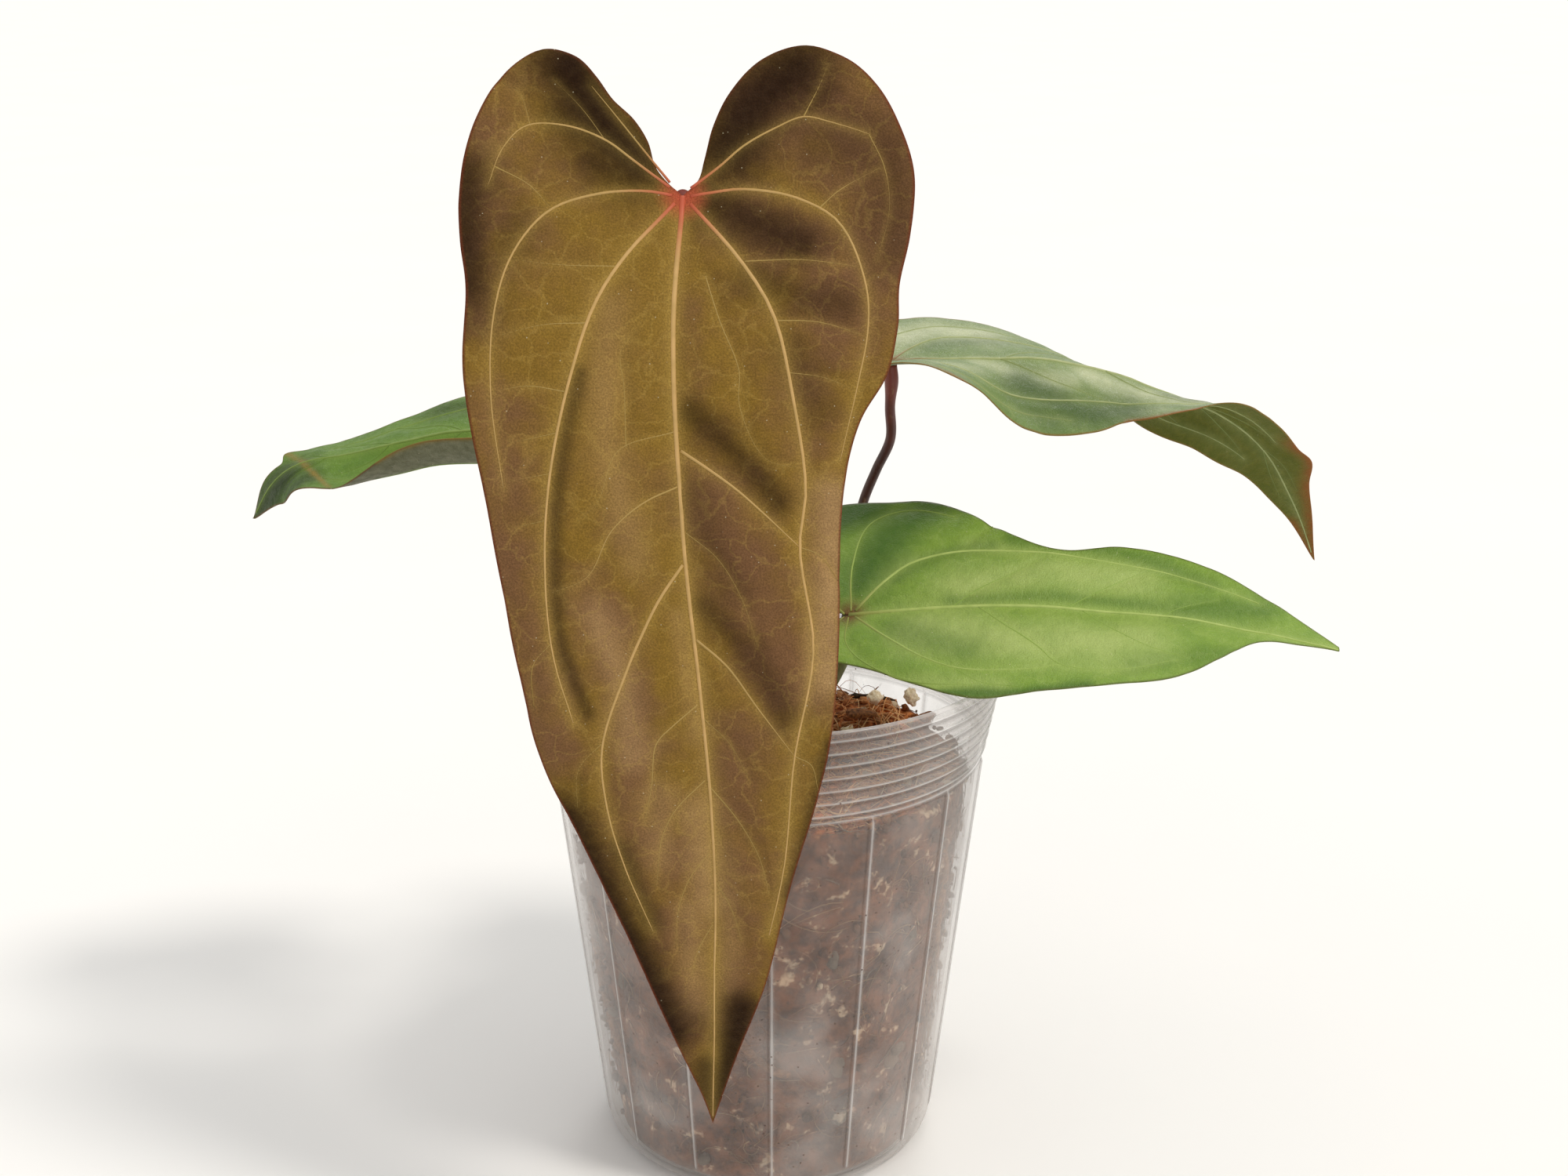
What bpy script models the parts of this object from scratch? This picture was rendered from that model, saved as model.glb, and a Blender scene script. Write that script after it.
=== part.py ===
"""A young anthurium in a clear nursery pot: four leaves on long stalks, a short crown, roots and a coir mix.

Metres, +Z up. The origin is the centre of the pot's underside, and the long bronze leaf hangs towards -Y.

A blade is laid out flat first, in millimetres: x across it, y from the stalk's joint towards the tip, with
the two basal lobes at negative y. Each half is a Coons patch between the midrib, the notch's edge and the
outer margin. The flat sheet is then carried onto a midrib curve in space. Across the midrib it leaves at a
fold angle and bends on as an arc, and the fold and the arc's bend change along the leaf.
"""

import bmesh
import bpy
import numpy as np

MM = 0.001
GAP = 0.0003

# Pot
POT_HEIGHT = 0.115
RIM_RADIUS = 0.052
WAIST_RADIUS = 0.0478
WAIST_HEIGHT = 0.0936
FOOT_RADIUS = 0.0378
FOOT_ROUND = 0.004
WALL = 0.0009
FLOOR = 0.0012
RIBS = 14
RIB_WIDTH = 0.0011
RIB_RISE = 0.0004
DRAIN_HOLES = 8
DRAIN_RADIUS = 0.0035
DRAIN_CIRCLE = 0.027

# Potting mix
MIX_SIDE_GAP = 0.0006
MIX_TOP = 0.088
MIX_MOUND = 0.0015
WELL_RADIUS = 0.0125
WELL_DEPTH = 0.0065

# Plant
STEM_RADIUS = 0.005
STEM_TOP = 0.0965
BRACT_THICKNESS = 0.0004
BLADE_THICKNESS = 0.0006
ACROSS = 6
ALONG = 24

# Each leaf, in millimetres. "spine" is the midrib in space, and its second point is the stalk's joint.
# "facing" is the way that the upper side looks at each spine point. "section" has rows of
# (y, left fold, left bend, right fold, right bend), folds in degrees and bends in degrees per centimetre.
# An outline runs from the joint up the notch's edge, over the lobe and down the margin to the tip, and
# "lobe" is the index of its point on top of the lobe.
LEAVES = {
    "bronze_leaf": {
        "spine": [
            (-15.5, -34, 246), (-16, -46, 219), (-17.3, -57, 196), (-17, -63, 172), (-15.5, -66, 147),
            (-13, -67, 120), (-11.6, -66, 92), (-11.8, -63, 62), (-12.3, -60, 33),
        ],
        "facing": [
            (0, -0.93, 0.35), (0, -0.92, 0.4), (0, -0.96, 0.25), (0, -1, 0.1), (0, -1, 0.03),
            (0, -1, 0), (0, -1, -0.05), (0, -1, -0.08), (0, -1, -0.08),
        ],
        "section": [
            (-30, 6, 0, 4, 0), (0, 8, -2, 6, -3), (50, 12, -5, 10, -6), (110, 10, -6, 12, -6),
            (190, 14, 0, 14, 0),
        ],
        "left": [
            (0, 0), (-2.7, -2.2), (-5.1, -5.2), (-6.6, -9.9), (-9.2, -13.9), (-13.1, -17.6), (-16.3, -21.9),
            (-20.1, -25.3), (-26, -26.2), (-32.8, -21.7), (-37.7, -13.5), (-39.9, -5.5), (-40.5, 3.5),
            (-39.7, 12), (-38.1, 20), (-38.3, 33), (-35, 57), (-33, 80), (-31.2, 102), (-24.3, 122.5),
            (-16.5, 144), (-8.3, 167), (-2.5, 182), (0, 190),
        ],
        "left_lobe": 8,
        "right": [
            (0, 0), (2.8, -3), (3.9, -6.8), (5.5, -13.1), (8.7, -19.7), (14.3, -25.4), (22.5, -28.2),
            (30, -25.7), (35.6, -20.5), (39.8, -13.2), (42.4, -5), (42, 5), (40.4, 14), (40.4, 23),
            (38.5, 33.5), (33.5, 42.5), (30, 55), (27, 86), (23, 107), (15, 133), (10.3, 155), (5, 172),
            (0, 190),
        ],
        "right_lobe": 6,
        "stalk": [
            (-4.5, -6.5, 83.5), (-7, -9.5, 108), (-9, -12, 135), (-12, -17, 165), (-15, -25, 192),
            (-16.5, -33, 208),
        ],
        "stalk_radius": 1.4,
    },
    "low_green_leaf": {
        "spine": [
            (-1, -3, 119.5), (17.5, -7, 124.3), (42.5, -12, 127.7), (70, -17, 128.2), (96.5, -21.5, 126.2),
            (118.5, -26.3, 122.5),
        ],
        "facing": [
            (-0.1, -0.48, 0.86), (-0.05, -0.48, 0.88), (0, -0.48, 0.88),
            (0, -0.46, 0.88), (0.05, -0.42, 0.9), (0.1, -0.4, 0.9),
        ],
        "section": [(-20, 10, -4, 10, -4), (0, 10, -4, 10, -4), (50, 8, -4, 8, -4), (105, 8, -4, 8, -4)],
        "left": [
            (0, 0), (-2, -5), (-5, -9), (-9, -9.5), (-13, -5), (-17, 4), (-23.2, 16.5), (-26.5, 24.5),
            (-27.3, 30.5), (-25, 42), (-22.5, 55), (-20, 65.5), (-16.5, 72.6), (-11.3, 79), (-6, 83.8),
            (-2.9, 88), (-1.4, 95), (0, 105),
        ],
        "left_lobe": 3,
        "right": [
            (0, 0), (5, -10), (12, -18), (20, -20), (29, -14), (32.3, -3), (31.6, 8), (31.6, 14.5),
            (28, 23), (22.6, 30.4), (17.6, 39.5), (16.4, 46), (18.5, 57), (18.4, 65), (15.5, 76),
            (11, 84.5), (5.5, 94.7), (0, 105),
        ],
        "right_lobe": 3,
        "stalk": [(6.8, -4.2, 83.5), (9, -6.5, 98), (12, -8.5, 106), (15.5, -8.5, 113)],
        "stalk_radius": 1.2,
    },
    "drooping_green_leaf": {
        "spine": [
            (11, 22, 172), (28, 24, 173.5), (44, 25, 173.5), (65, 26, 173), (80, 27, 169.5),
            (93, 27.5, 164.5), (104, 28, 160), (114.5, 28.5, 151.5), (122, 29, 139), (128, 29, 125),
        ],
        "facing": [
            (0, -0.1, 1), (0, -0.1, 1), (0, -0.15, 1), (0, -0.15, 1), (0, -0.1, 1), (0.1, 0.3, 0.9),
            (0.3, 0.7, 0.6), (0.5, 0.8, 0.2), (0.5, 0.85, 0), (0.5, 0.85, 0),
        ],
        "section": [
            (-18, 15, 0, 2, 0), (0, 16, 0, 2, 0), (12, 14, -4, 2, -1), (27, -14, -5, -2, -2),
            (43, -20, -3, -12, -2), (56, -16, -2, -26, -4), (70, -18, 0, -40, -4), (85, -24, 0, -28, -4),
            (100, -12, 0, -5, 0), (122, 0, 0, 0, 0),
        ],
        "left": [
            (0, 0), (-4, -6), (-9, -12), (-15, -14), (-23, -8), (-26, 4), (-23, 19), (-24.2, 33),
            (-21, 46.5), (-17.6, 53), (-17.5, 60), (-14.5, 68), (-13, 77), (-10.5, 86), (-8.5, 93.5),
            (-9.5, 97), (-5.5, 103), (-2, 114), (0, 122),
        ],
        "left_lobe": 3,
        "right": [
            (0, 0), (4, -6), (9, -12), (15, -14), (25, -7), (28.5, 6), (28.5, 20), (23, 38), (16, 55),
            (10.7, 72), (9.7, 86), (6.2, 100), (2.4, 112), (0, 122),
        ],
        "right_lobe": 3,
        "stalk": [
            (6.5, 5, 83.5), (11.5, 8, 98), (16, 13, 108), (19.5, 24, 120), (21, 32, 131), (22.8, 33, 139),
            (25.5, 30.8, 147), (28.4, 28, 155), (28, 25.5, 163),
        ],
        "stalk_radius": 1.15,
    },
    "left_green_leaf": {
        "spine": [
            (-12, 18, 157), (-30, 20, 158.5), (-65.5, 21, 159), (-81.5, 22, 156), (-94, 22.5, 153),
            (-104, 23, 151), (-110.5, 23, 147), (-116, 23, 138.5),
        ],
        "facing": [
            (0, -0.1, 1), (0, -0.1, 1), (0, -0.15, 1), (0, -0.15, 1), (0, -0.1, 1), (-0.2, 0, 1),
            (-0.5, -0.3, 0.7), (-0.7, -0.5, 0.4),
        ],
        "section": [
            (-18, 0, 0, -6, 8), (0, 1, 0, -10, 12), (30, 5, -2, -36, 39), (42, 3, -2, -35, 41),
            (52, 1, -2, -34, 38), (68, 1, 0, -25, 20), (80, 4, 0, -15, 0), (93, -5, 0, -5, 0),
        ],
        "left": [
            (0, 0), (-4, -6), (-9, -12), (-15, -14), (-24, -7), (-26, 6), (-24, 22), (-20.5, 38), (-15, 54),
            (-12, 66), (-10, 74), (-9.6, 79.5), (-5, 80.5), (-3.6, 86), (0, 93),
        ],
        "left_lobe": 3,
        "right": [
            (0, 0), (4, -6), (9, -12), (15, -14), (24, -7), (27, 8), (28, 24), (26, 40), (24, 52),
            (21, 60), (15.5, 67), (13.2, 73), (11.5, 78), (6, 86), (0, 93),
        ],
        "right_lobe": 3,
        "stalk": [(-6.8, 4.6, 83.5), (-9, 7, 105), (-14, 11, 124), (-21, 16, 141), (-27, 19, 151)],
        "stalk_radius": 1.15,
    },
}

# Roots that press against the pot's wall: height in millimetres, and compass angle in degrees from -Y,
# growing towards +X
ROOTS = {
    "root_front": [(52, -24), (44, -15), (36, -6), (31, 3), (30, 12)],
    "root_right": [(79, 62), (70, 66), (58, 64), (44, 70), (30, 76)],
    "root_back": [(80, 170), (66, 176), (50, 172), (34, 180), (22, 190)],
    "root_left": [(70, -80), (56, -74), (42, -78), (30, -70), (16, -66)],
}
ROOT_RADIUS = 0.0013

# Loose pieces on the mix: (x, y, size, turn) in millimetres and degrees
PERLITE = [
    (25.5, 24, 4.2, 20), (34, 25, 4.6, 75), (18.5, 10.5, 2.8, 10),
    (-24, 17, 3.4, 50), (-30, -18, 3, 5), (8, -36, 3, 35),
]
CHIPS = [(37.5, 19, 6, 60), (14, -26, 6, 110), (-17, -31, 8, 160), (-12, 33, 7, 70), (22, 16, 7, 15)]
TWIG = [(20.5, 31.5, 91.2), (24, 29.8, 91.8), (27.5, 28.4, 91.9), (30.5, 27.6, 91.2)]
TWIG_RADIUS = 0.0008
CHIP_THICKNESS = 1.4


def clear_scene():
    for old in list(bpy.data.objects):
        bpy.data.objects.remove(old, do_unlink=True)


def material(name, colour, roughness, alpha=1.0):
    made = bpy.data.materials.new(name)
    made.use_nodes = True
    shader = made.node_tree.nodes["Principled BSDF"]
    shader.inputs["Base Color"].default_value = (*colour, 1.0)
    shader.inputs["Roughness"].default_value = roughness
    shader.inputs["Metallic"].default_value = 0.0
    shader.inputs["Alpha"].default_value = alpha
    return made


def add_object(name, shape, finish):
    """A smooth-shaded object from a bmesh, which is freed."""
    mesh = bpy.data.meshes.new(name)
    shape.to_mesh(mesh)
    shape.free()
    mesh.materials.append(finish)
    mesh.shade_smooth()
    made = bpy.data.objects.new(name, mesh)
    bpy.context.scene.collection.objects.link(made)
    return made


def smooth_curve(points, steps=20):
    """A centripetal Catmull-Rom curve through the points, as a dense polyline."""
    p = np.asarray(points, float)
    p = np.vstack([2 * p[0] - p[1], p, 2 * p[-1] - p[-2]])
    t = np.linspace(0, 1, steps, endpoint=False)[:, None]
    pieces = []
    for a, b, c, d in zip(p[:-3], p[1:-2], p[2:-1], p[3:]):
        ab, bc, cd = (np.linalg.norm(far - near) ** 0.5 + 1e-9 for near, far in ((a, b), (b, c), (c, d)))
        leave = ((b - a) / ab - (c - a) / (ab + bc) + (c - b) / bc) * bc
        arrive = ((c - b) / bc - (d - b) / (bc + cd) + (d - c) / cd) * bc
        pieces.append(
            (2 * t**3 - 3 * t**2 + 1) * b + (t**3 - 2 * t**2 + t) * leave
            + (3 * t**2 - 2 * t**3) * c + (t**3 - t**2) * arrive
        )
    return np.vstack(pieces + [p[-2:-1]])


def run_lengths(curve):
    return np.concatenate([[0], np.cumsum(np.linalg.norm(np.diff(curve, axis=0), axis=1))])


def read_curve(curve, positions, at):
    """The curve's points at these positions, where "positions" are those of its own points."""
    return np.stack([np.interp(at, positions, curve[:, i]) for i in range(curve.shape[1])], axis=-1)


def by_fraction(curve, fraction):
    length = run_lengths(curve)
    return read_curve(curve, length, np.asarray(fraction) * length[-1])


def unit(vectors):
    return vectors / np.linalg.norm(vectors, axis=-1, keepdims=True)


class Blade:
    """Carries flat leaf coordinates onto the midrib curve in space."""

    def __init__(self, leaf):
        self.midrib = smooth_curve(leaf["spine"])
        length = run_lengths(self.midrib)
        self.y = length - length[20]
        along = unit(np.gradient(self.midrib, self.y, axis=0))
        facing = smooth_curve(np.asarray(leaf["facing"]) * 50)
        self.facing = unit(facing - (facing * along).sum(1, keepdims=True) * along)
        self.across = np.cross(self.facing, along)
        self.section = smooth_curve(leaf["section"])

    def place(self, flat):
        """Points in space, in millimetres, for flat points (x, y)."""
        x, y = flat[..., 0], flat[..., 1]
        middle, facing, across = (
            read_curve(curve, self.y, y) for curve in (self.midrib, self.facing, self.across)
        )
        row = read_curve(self.section[:, 1:], self.section[:, 0], y)
        fold = np.radians(np.where(x < 0, row[..., 0], row[..., 2]))
        bend = np.radians(np.where(x < 0, row[..., 1], row[..., 3])) / 10
        bend = np.where(np.abs(bend) < 1e-6, 1e-6, bend)
        end = fold + bend * np.abs(x)
        out = np.sign(x) * (np.sin(end) - np.sin(fold)) / bend
        rise = (np.cos(fold) - np.cos(end)) / bend
        return middle + out[..., None] * across + rise[..., None] * facing

    def joint(self, behind):
        """The point this far behind the midrib at the stalk's joint."""
        return self.midrib[20] - behind * self.facing[20]


def half_blade(outline, lobe):
    """A flat Coons patch: rows from the notch to the tip, columns from the midrib to the margin."""
    whole = smooth_curve(outline)
    notch, margin = whole[: 20 * lobe + 1], whole[20 * lobe :]
    u = np.linspace(0, 1, ACROSS + 1)
    v = np.linspace(0, 1, ALONG + 1)
    top = by_fraction(notch, u)[None]
    side = by_fraction(margin, v)[:, None]
    midrib = v[:, None, None] * margin[-1]
    u, v = u[None, :, None], v[:, None, None]
    return (1 - v) * top + (1 - u) * midrib + u * side - u * (1 - v) * notch[-1]


def add_grid(shape, points):
    rows, columns = points.shape[:2]
    corners = [[shape.verts.new(point * MM) for point in row] for row in points]
    for i in range(rows - 1):
        for j in range(columns - 1):
            shape.faces.new((corners[i][j], corners[i][j + 1], corners[i + 1][j + 1], corners[i + 1][j]))


def build_blade(name, leaf, blade, finish):
    shape = bmesh.new()
    for side in ("left", "right"):
        add_grid(shape, blade.place(half_blade(leaf[side], leaf[side + "_lobe"])))
    bmesh.ops.remove_doubles(shape, verts=shape.verts, dist=1e-6)
    bmesh.ops.dissolve_degenerate(shape, edges=shape.edges, dist=1e-6)
    bmesh.ops.recalc_face_normals(shape, faces=shape.faces)
    made = add_object(name, shape, finish)
    thicken = made.modifiers.new("Thickness", "SOLIDIFY")
    thicken.thickness = BLADE_THICKNESS
    thicken.offset = 0


def tube(name, path, radii, finish, sides=8):
    """A closed tube along a path, with its radius at each point. Both are in metres."""
    path = np.asarray(path, float)
    along = unit(np.gradient(path, axis=0))
    start = np.cross(along[0], (0, 0, 1) if abs(along[0][2]) < 0.9 else (1, 0, 0))
    frames = [start / np.linalg.norm(start)]
    for direction in along[1:]:
        turned = frames[-1] - (frames[-1] @ direction) * direction
        frames.append(turned / np.linalg.norm(turned))
    first = np.array(frames)
    second = np.cross(along, first)
    angle = np.linspace(0, 2 * np.pi, sides, endpoint=False)
    ring = np.cos(angle)[None, :, None] * first[:, None] + np.sin(angle)[None, :, None] * second[:, None]
    points = path[:, None] + np.asarray(radii)[:, None, None] * ring
    shape = bmesh.new()
    corners = [[shape.verts.new(point) for point in row] for row in points]
    for i in range(len(points) - 1):
        for j in range(sides):
            k = (j + 1) % sides
            shape.faces.new((corners[i][j], corners[i][k], corners[i + 1][k], corners[i + 1][j]))
    shape.faces.new(corners[0][::-1])
    shape.faces.new(corners[-1])
    bmesh.ops.recalc_face_normals(shape, faces=shape.faces)
    return add_object(name, shape, finish)


def build_stalk(name, leaf, blade, finish):
    """A stalk with a flared base and a knuckle just under the blade, which it meets squarely from behind."""
    end = blade.joint(BLADE_THICKNESS / MM / 2 + 0.35)
    path = by_fraction(smooth_curve([*leaf["stalk"], blade.joint(5), end]), np.linspace(0, 1, 26))
    distance = run_lengths(path)
    from_top = distance[-1] - distance
    flare = 0.6 * np.exp(-distance / 9)
    knuckle = 0.35 * np.exp(-(((from_top - 4) / 3.5) ** 2))
    radius = leaf["stalk_radius"] * (1 + flare + knuckle)
    tube(name, path * MM, radius * MM, finish)


def turn(name, profile, angles, finish):
    """A closed turned solid. The profile's rows are (height, one radius or a radius for each angle)."""
    shape = bmesh.new()
    corners = []
    for height, radius in profile:
        radii = np.broadcast_to(radius, len(angles))
        corners.append([
            shape.verts.new((r * np.sin(a), -r * np.cos(a), h))
            for r, a, h in zip(radii, angles, np.broadcast_to(height, len(angles)))
        ])
    for low, high in zip(corners[:-1], corners[1:]):
        for j in range(len(angles)):
            k = (j + 1) % len(angles)
            shape.faces.new((low[j], low[k], high[k], high[j]))
    shape.faces.new(corners[0][::-1])
    shape.faces.new(corners[-1])
    bmesh.ops.triangulate(shape, faces=[face for face in shape.faces if len(face.verts) > 4])
    return add_object(name, shape, finish)


def cut(target, cutter):
    cutter.hide_render = True
    cutter.display_type = "WIRE"
    made = target.modifiers.new(cutter.name, "BOOLEAN")
    made.operation = "DIFFERENCE"
    made.object = cutter


def wall_radius(height):
    """The pot's outer radius at this height."""
    return np.interp(height, [FOOT_ROUND, WAIST_HEIGHT, POT_HEIGHT], [FOOT_RADIUS, WAIST_RADIUS, RIM_RADIUS])


def build_pot(finish):
    half = RIB_WIDTH / 2 / WAIST_RADIUS
    step = 2 * np.pi / RIBS
    pattern = np.array([-1.6 * half, -half, half, 1.6 * half, step / 3, step * 2 / 3])
    angles = (np.arange(RIBS)[:, None] * step + pattern).ravel()
    rib = np.tile([0, RIB_RISE, RIB_RISE, 0, 0, 0], RIBS)
    inner_foot = FOOT_RADIUS - WALL
    profile = [(0.0, FOOT_RADIUS - FOOT_ROUND)]
    for tilt in np.radians([30, 60]):
        profile.append((FOOT_ROUND * (1 - np.cos(tilt)), FOOT_RADIUS - FOOT_ROUND * (1 - np.sin(tilt))))
    profile += [
        (FOOT_ROUND, FOOT_RADIUS),
        (FOOT_ROUND + 0.001, wall_radius(FOOT_ROUND + 0.001) + rib),
        (WAIST_HEIGHT - 0.001, wall_radius(WAIST_HEIGHT - 0.001) + rib),
        (WAIST_HEIGHT, WAIST_RADIUS),
        (WAIST_HEIGHT + 0.0004, WAIST_RADIUS + 0.0005),
        (POT_HEIGHT - 0.0012, RIM_RADIUS),
        (POT_HEIGHT, RIM_RADIUS - 0.0002),
        (POT_HEIGHT, RIM_RADIUS - WALL),
        (WAIST_HEIGHT, WAIST_RADIUS - WALL),
        (FOOT_ROUND + 0.001, inner_foot),
        (FLOOR + 0.001, inner_foot - 0.0012),
        (FLOOR, inner_foot - 0.0035),
    ]
    pot = turn("pot", profile, angles, finish)
    for i in range(DRAIN_HOLES):
        angle = 2 * np.pi * (i + 0.5) / DRAIN_HOLES
        centre = DRAIN_CIRCLE * np.array([np.sin(angle), -np.cos(angle)])
        path = [(*centre, -0.002), (*centre, 0.004)]
        cut(pot, tube(f"drain_cutter_{i + 1}", path, [DRAIN_RADIUS] * 2, finish, sides=12))


def mound_height(angle):
    """How far the mounds rise at this compass angle, in metres."""
    return MIX_MOUND * (np.sin(3 * angle + 0.6) + 0.6 * np.sin(5 * angle + 2) + 0.4 * np.sin(9 * angle))


def build_mix(finish):
    """The mix ends about 27 mm below the rim, with a few mounds and a dip round the crown."""
    angles = np.linspace(0, 2 * np.pi, 48, endpoint=False)
    inside = MIX_SIDE_GAP + WALL
    mounds = mound_height(angles)
    profile = [
        (FLOOR + GAP, FOOT_RADIUS - 0.0062),
        (FLOOR + 0.0022, FOOT_RADIUS - inside - 0.0008),
        (FOOT_ROUND + 0.002, FOOT_RADIUS - inside),
        (MIX_TOP - 0.004, wall_radius(MIX_TOP - 0.004) - inside),
        (MIX_TOP + 0.3 * mounds, wall_radius(MIX_TOP) - inside - 0.0015),
        (MIX_TOP + 0.0005 + mounds, 0.036),
        (MIX_TOP + 0.7 * mounds, 0.024),
        (MIX_TOP - 0.0005, WELL_RADIUS + 0.002),
        (MIX_TOP - WELL_DEPTH, WELL_RADIUS - 0.001),
    ]
    return turn("potting_mix", profile, angles, finish)


def root_path(stations, inset):
    """A root's middle line, in metres: it leaves the mix, follows the wall and turns back in."""
    height, angle = smooth_curve(stations, 8).T
    height, angle = height * MM, np.radians(angle)
    radius = wall_radius(height) - WALL - MIX_SIDE_GAP - inset
    into = np.linspace(-1, 1, len(height)) ** 6
    radius = radius - 0.006 * into
    return np.stack([radius * np.sin(angle), -radius * np.cos(angle), height], axis=1)[::2]


def build_roots(mix, finish):
    for name, stations in ROOTS.items():
        path = root_path(stations, ROOT_RADIUS)
        taper = np.linspace(1, 0.7, len(path))
        tube(name, path, ROOT_RADIUS * taper, finish)
        longer = np.vstack([2 * path[0] - path[1], path, 2 * path[-1] - path[-2]])
        wider = ROOT_RADIUS * np.concatenate([[1], taper, [0.7]]) + GAP
        cut(mix, tube(name + "_cutter", longer, wider, finish))


def build_bract(name, angle, half_width, height, finish):
    """A dry pointed scale that wraps the crown: a curved sheet, widest a third of the way up."""
    shape = bmesh.new()
    u = np.linspace(-1, 1, 7)
    v = np.linspace(0, 1, 9)[:, None]
    spread = np.radians(half_width) * (1 - v**2.2) * u
    radius = STEM_RADIUS + 1.1 * MM + (0.004 * v**2)
    turned = np.radians(angle) + spread
    z = MIX_TOP - WELL_DEPTH + 0.001 + height * v + 0 * u
    points = np.stack([radius * np.sin(turned), -radius * np.cos(turned), z], axis=-1)
    add_grid(shape, points / MM)
    bmesh.ops.remove_doubles(shape, verts=shape.verts, dist=1e-6)
    bmesh.ops.recalc_face_normals(shape, faces=shape.faces)
    made = add_object(name, shape, finish)
    thicken = made.modifiers.new("Thickness", "SOLIDIFY")
    thicken.thickness = BRACT_THICKNESS
    thicken.offset = 0


def mix_height(x, y):
    """The height of the mix's mounds at this place, in metres."""
    mounds = mound_height(np.arctan2(x, -y))
    return MIX_TOP + 0.0005 + np.maximum(mounds, 0.7 * mounds)


def build_lumps(finish):
    for i, (x, y, size, angle) in enumerate(PERLITE):
        shape = bmesh.new()
        bmesh.ops.create_icosphere(shape, subdivisions=1, radius=size * MM / 2)
        for vert in shape.verts:
            p = vert.co / (size * MM)
            bumps = 1 + 0.16 * np.sin(7 * p.x + i) * np.sin(6 * p.y + 2 * i) + 0.1 * np.sin(11 * p.z + i)
            vert.co *= float(bumps)
            vert.co.z *= 0.8
        made = add_object(f"perlite_{i + 1}", shape, finish)
        made.location = (x * MM, y * MM, mix_height(x, y) + 0.55 * size * MM + GAP)
        made.rotation_euler = (0, 0, np.radians(angle))


def build_chips(finish):
    for i, (x, y, length, angle) in enumerate(CHIPS):
        shape = bmesh.new()
        bmesh.ops.create_cube(shape, size=MM)
        for vert in shape.verts:
            narrow = 0.6 if vert.co.x > 0 else 1.0
            vert.co = (vert.co.x * length, vert.co.y * length * 0.45 * narrow, vert.co.z * CHIP_THICKNESS)
        bmesh.ops.bevel(shape, geom=shape.edges, offset=0.0003, segments=1, affect="EDGES")
        made = add_object(f"coir_chip_{i + 1}", shape, finish)
        made.location = (x * MM, y * MM, mix_height(x, y) + 0.0024)
        made.rotation_euler = (0.15, 0.1 * (-1) ** i, np.radians(angle))


def main():
    clear_scene()
    bronze = material("bronze_leaf", (0.105, 0.075, 0.025), 0.55)
    green = material("green_leaf", (0.13, 0.28, 0.04), 0.4)
    stalk = material("maroon_stalk", (0.07, 0.02, 0.018), 0.45)
    green_stalk = material("green_stalk", (0.14, 0.17, 0.04), 0.45)
    crown = material("brown_crown", (0.09, 0.05, 0.025), 0.7)
    clear = material("clear_plastic", (0.8, 0.82, 0.84), 0.25, alpha=0.35)
    coir = material("coir_mix", (0.1, 0.045, 0.02), 0.9)
    root = material("pale_root", (0.3, 0.17, 0.09), 0.6)
    perlite = material("perlite", (0.75, 0.7, 0.6), 0.85)

    build_pot(clear)
    mix = build_mix(coir)
    build_roots(mix, root)
    stem_path = [(0, 0, z) for z in np.linspace(MIX_TOP - WELL_DEPTH + GAP, STEM_TOP, 6)]
    tube("stem", stem_path, STEM_RADIUS * np.array([1, 0.97, 1, 0.93, 0.85, 0.45]), crown, sides=14)
    for name, leaf in LEAVES.items():
        blade = Blade(leaf)
        build_blade(name + "_blade", leaf, blade, bronze if name == "bronze_leaf" else green)
        build_stalk(name + "_stalk", leaf, blade, green_stalk if name == "low_green_leaf" else stalk)
    build_bract("bract_front", 11, 25, 0.021, crown)
    build_bract("bract_back", 182, 32, 0.017, crown)
    build_lumps(perlite)
    build_chips(coir)
    twig_path = smooth_curve(np.array(TWIG) * MM, 4)
    tube("twig", twig_path, [TWIG_RADIUS] * len(twig_path), crown, sides=6)


main()
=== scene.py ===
"""Looks for a young velvet-leaf anthurium in a clear nursery pot.

Metres, +Z up, the origin at the centre of the pot's underside. Leaf design values are in millimetres.

A blade is laid out flat: x across, y from the stalk's joint towards the tip, lobes at negative y. Each half
is a Coons patch between the midrib, the notch's edge and the outer margin. The sheet is carried onto a
midrib curve in space, where it leaves at a fold angle and bends on as an arc.
"""

import functools

import bpy
import numpy as np
from mathutils import Matrix, Vector


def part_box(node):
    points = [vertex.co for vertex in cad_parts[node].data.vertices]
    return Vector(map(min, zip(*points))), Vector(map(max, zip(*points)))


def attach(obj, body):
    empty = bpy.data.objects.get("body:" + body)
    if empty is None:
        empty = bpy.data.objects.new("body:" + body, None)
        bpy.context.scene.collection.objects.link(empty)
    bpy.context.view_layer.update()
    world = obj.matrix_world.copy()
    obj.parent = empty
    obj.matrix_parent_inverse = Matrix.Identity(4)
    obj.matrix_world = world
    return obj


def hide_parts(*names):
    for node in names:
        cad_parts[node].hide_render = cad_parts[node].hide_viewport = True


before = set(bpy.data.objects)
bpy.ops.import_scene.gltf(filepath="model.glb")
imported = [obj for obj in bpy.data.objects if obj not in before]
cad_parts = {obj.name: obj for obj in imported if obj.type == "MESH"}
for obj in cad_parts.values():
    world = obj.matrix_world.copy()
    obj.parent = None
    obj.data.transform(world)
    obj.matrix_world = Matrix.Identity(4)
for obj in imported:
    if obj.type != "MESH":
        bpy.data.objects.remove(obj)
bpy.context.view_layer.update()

MM = 0.001

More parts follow.
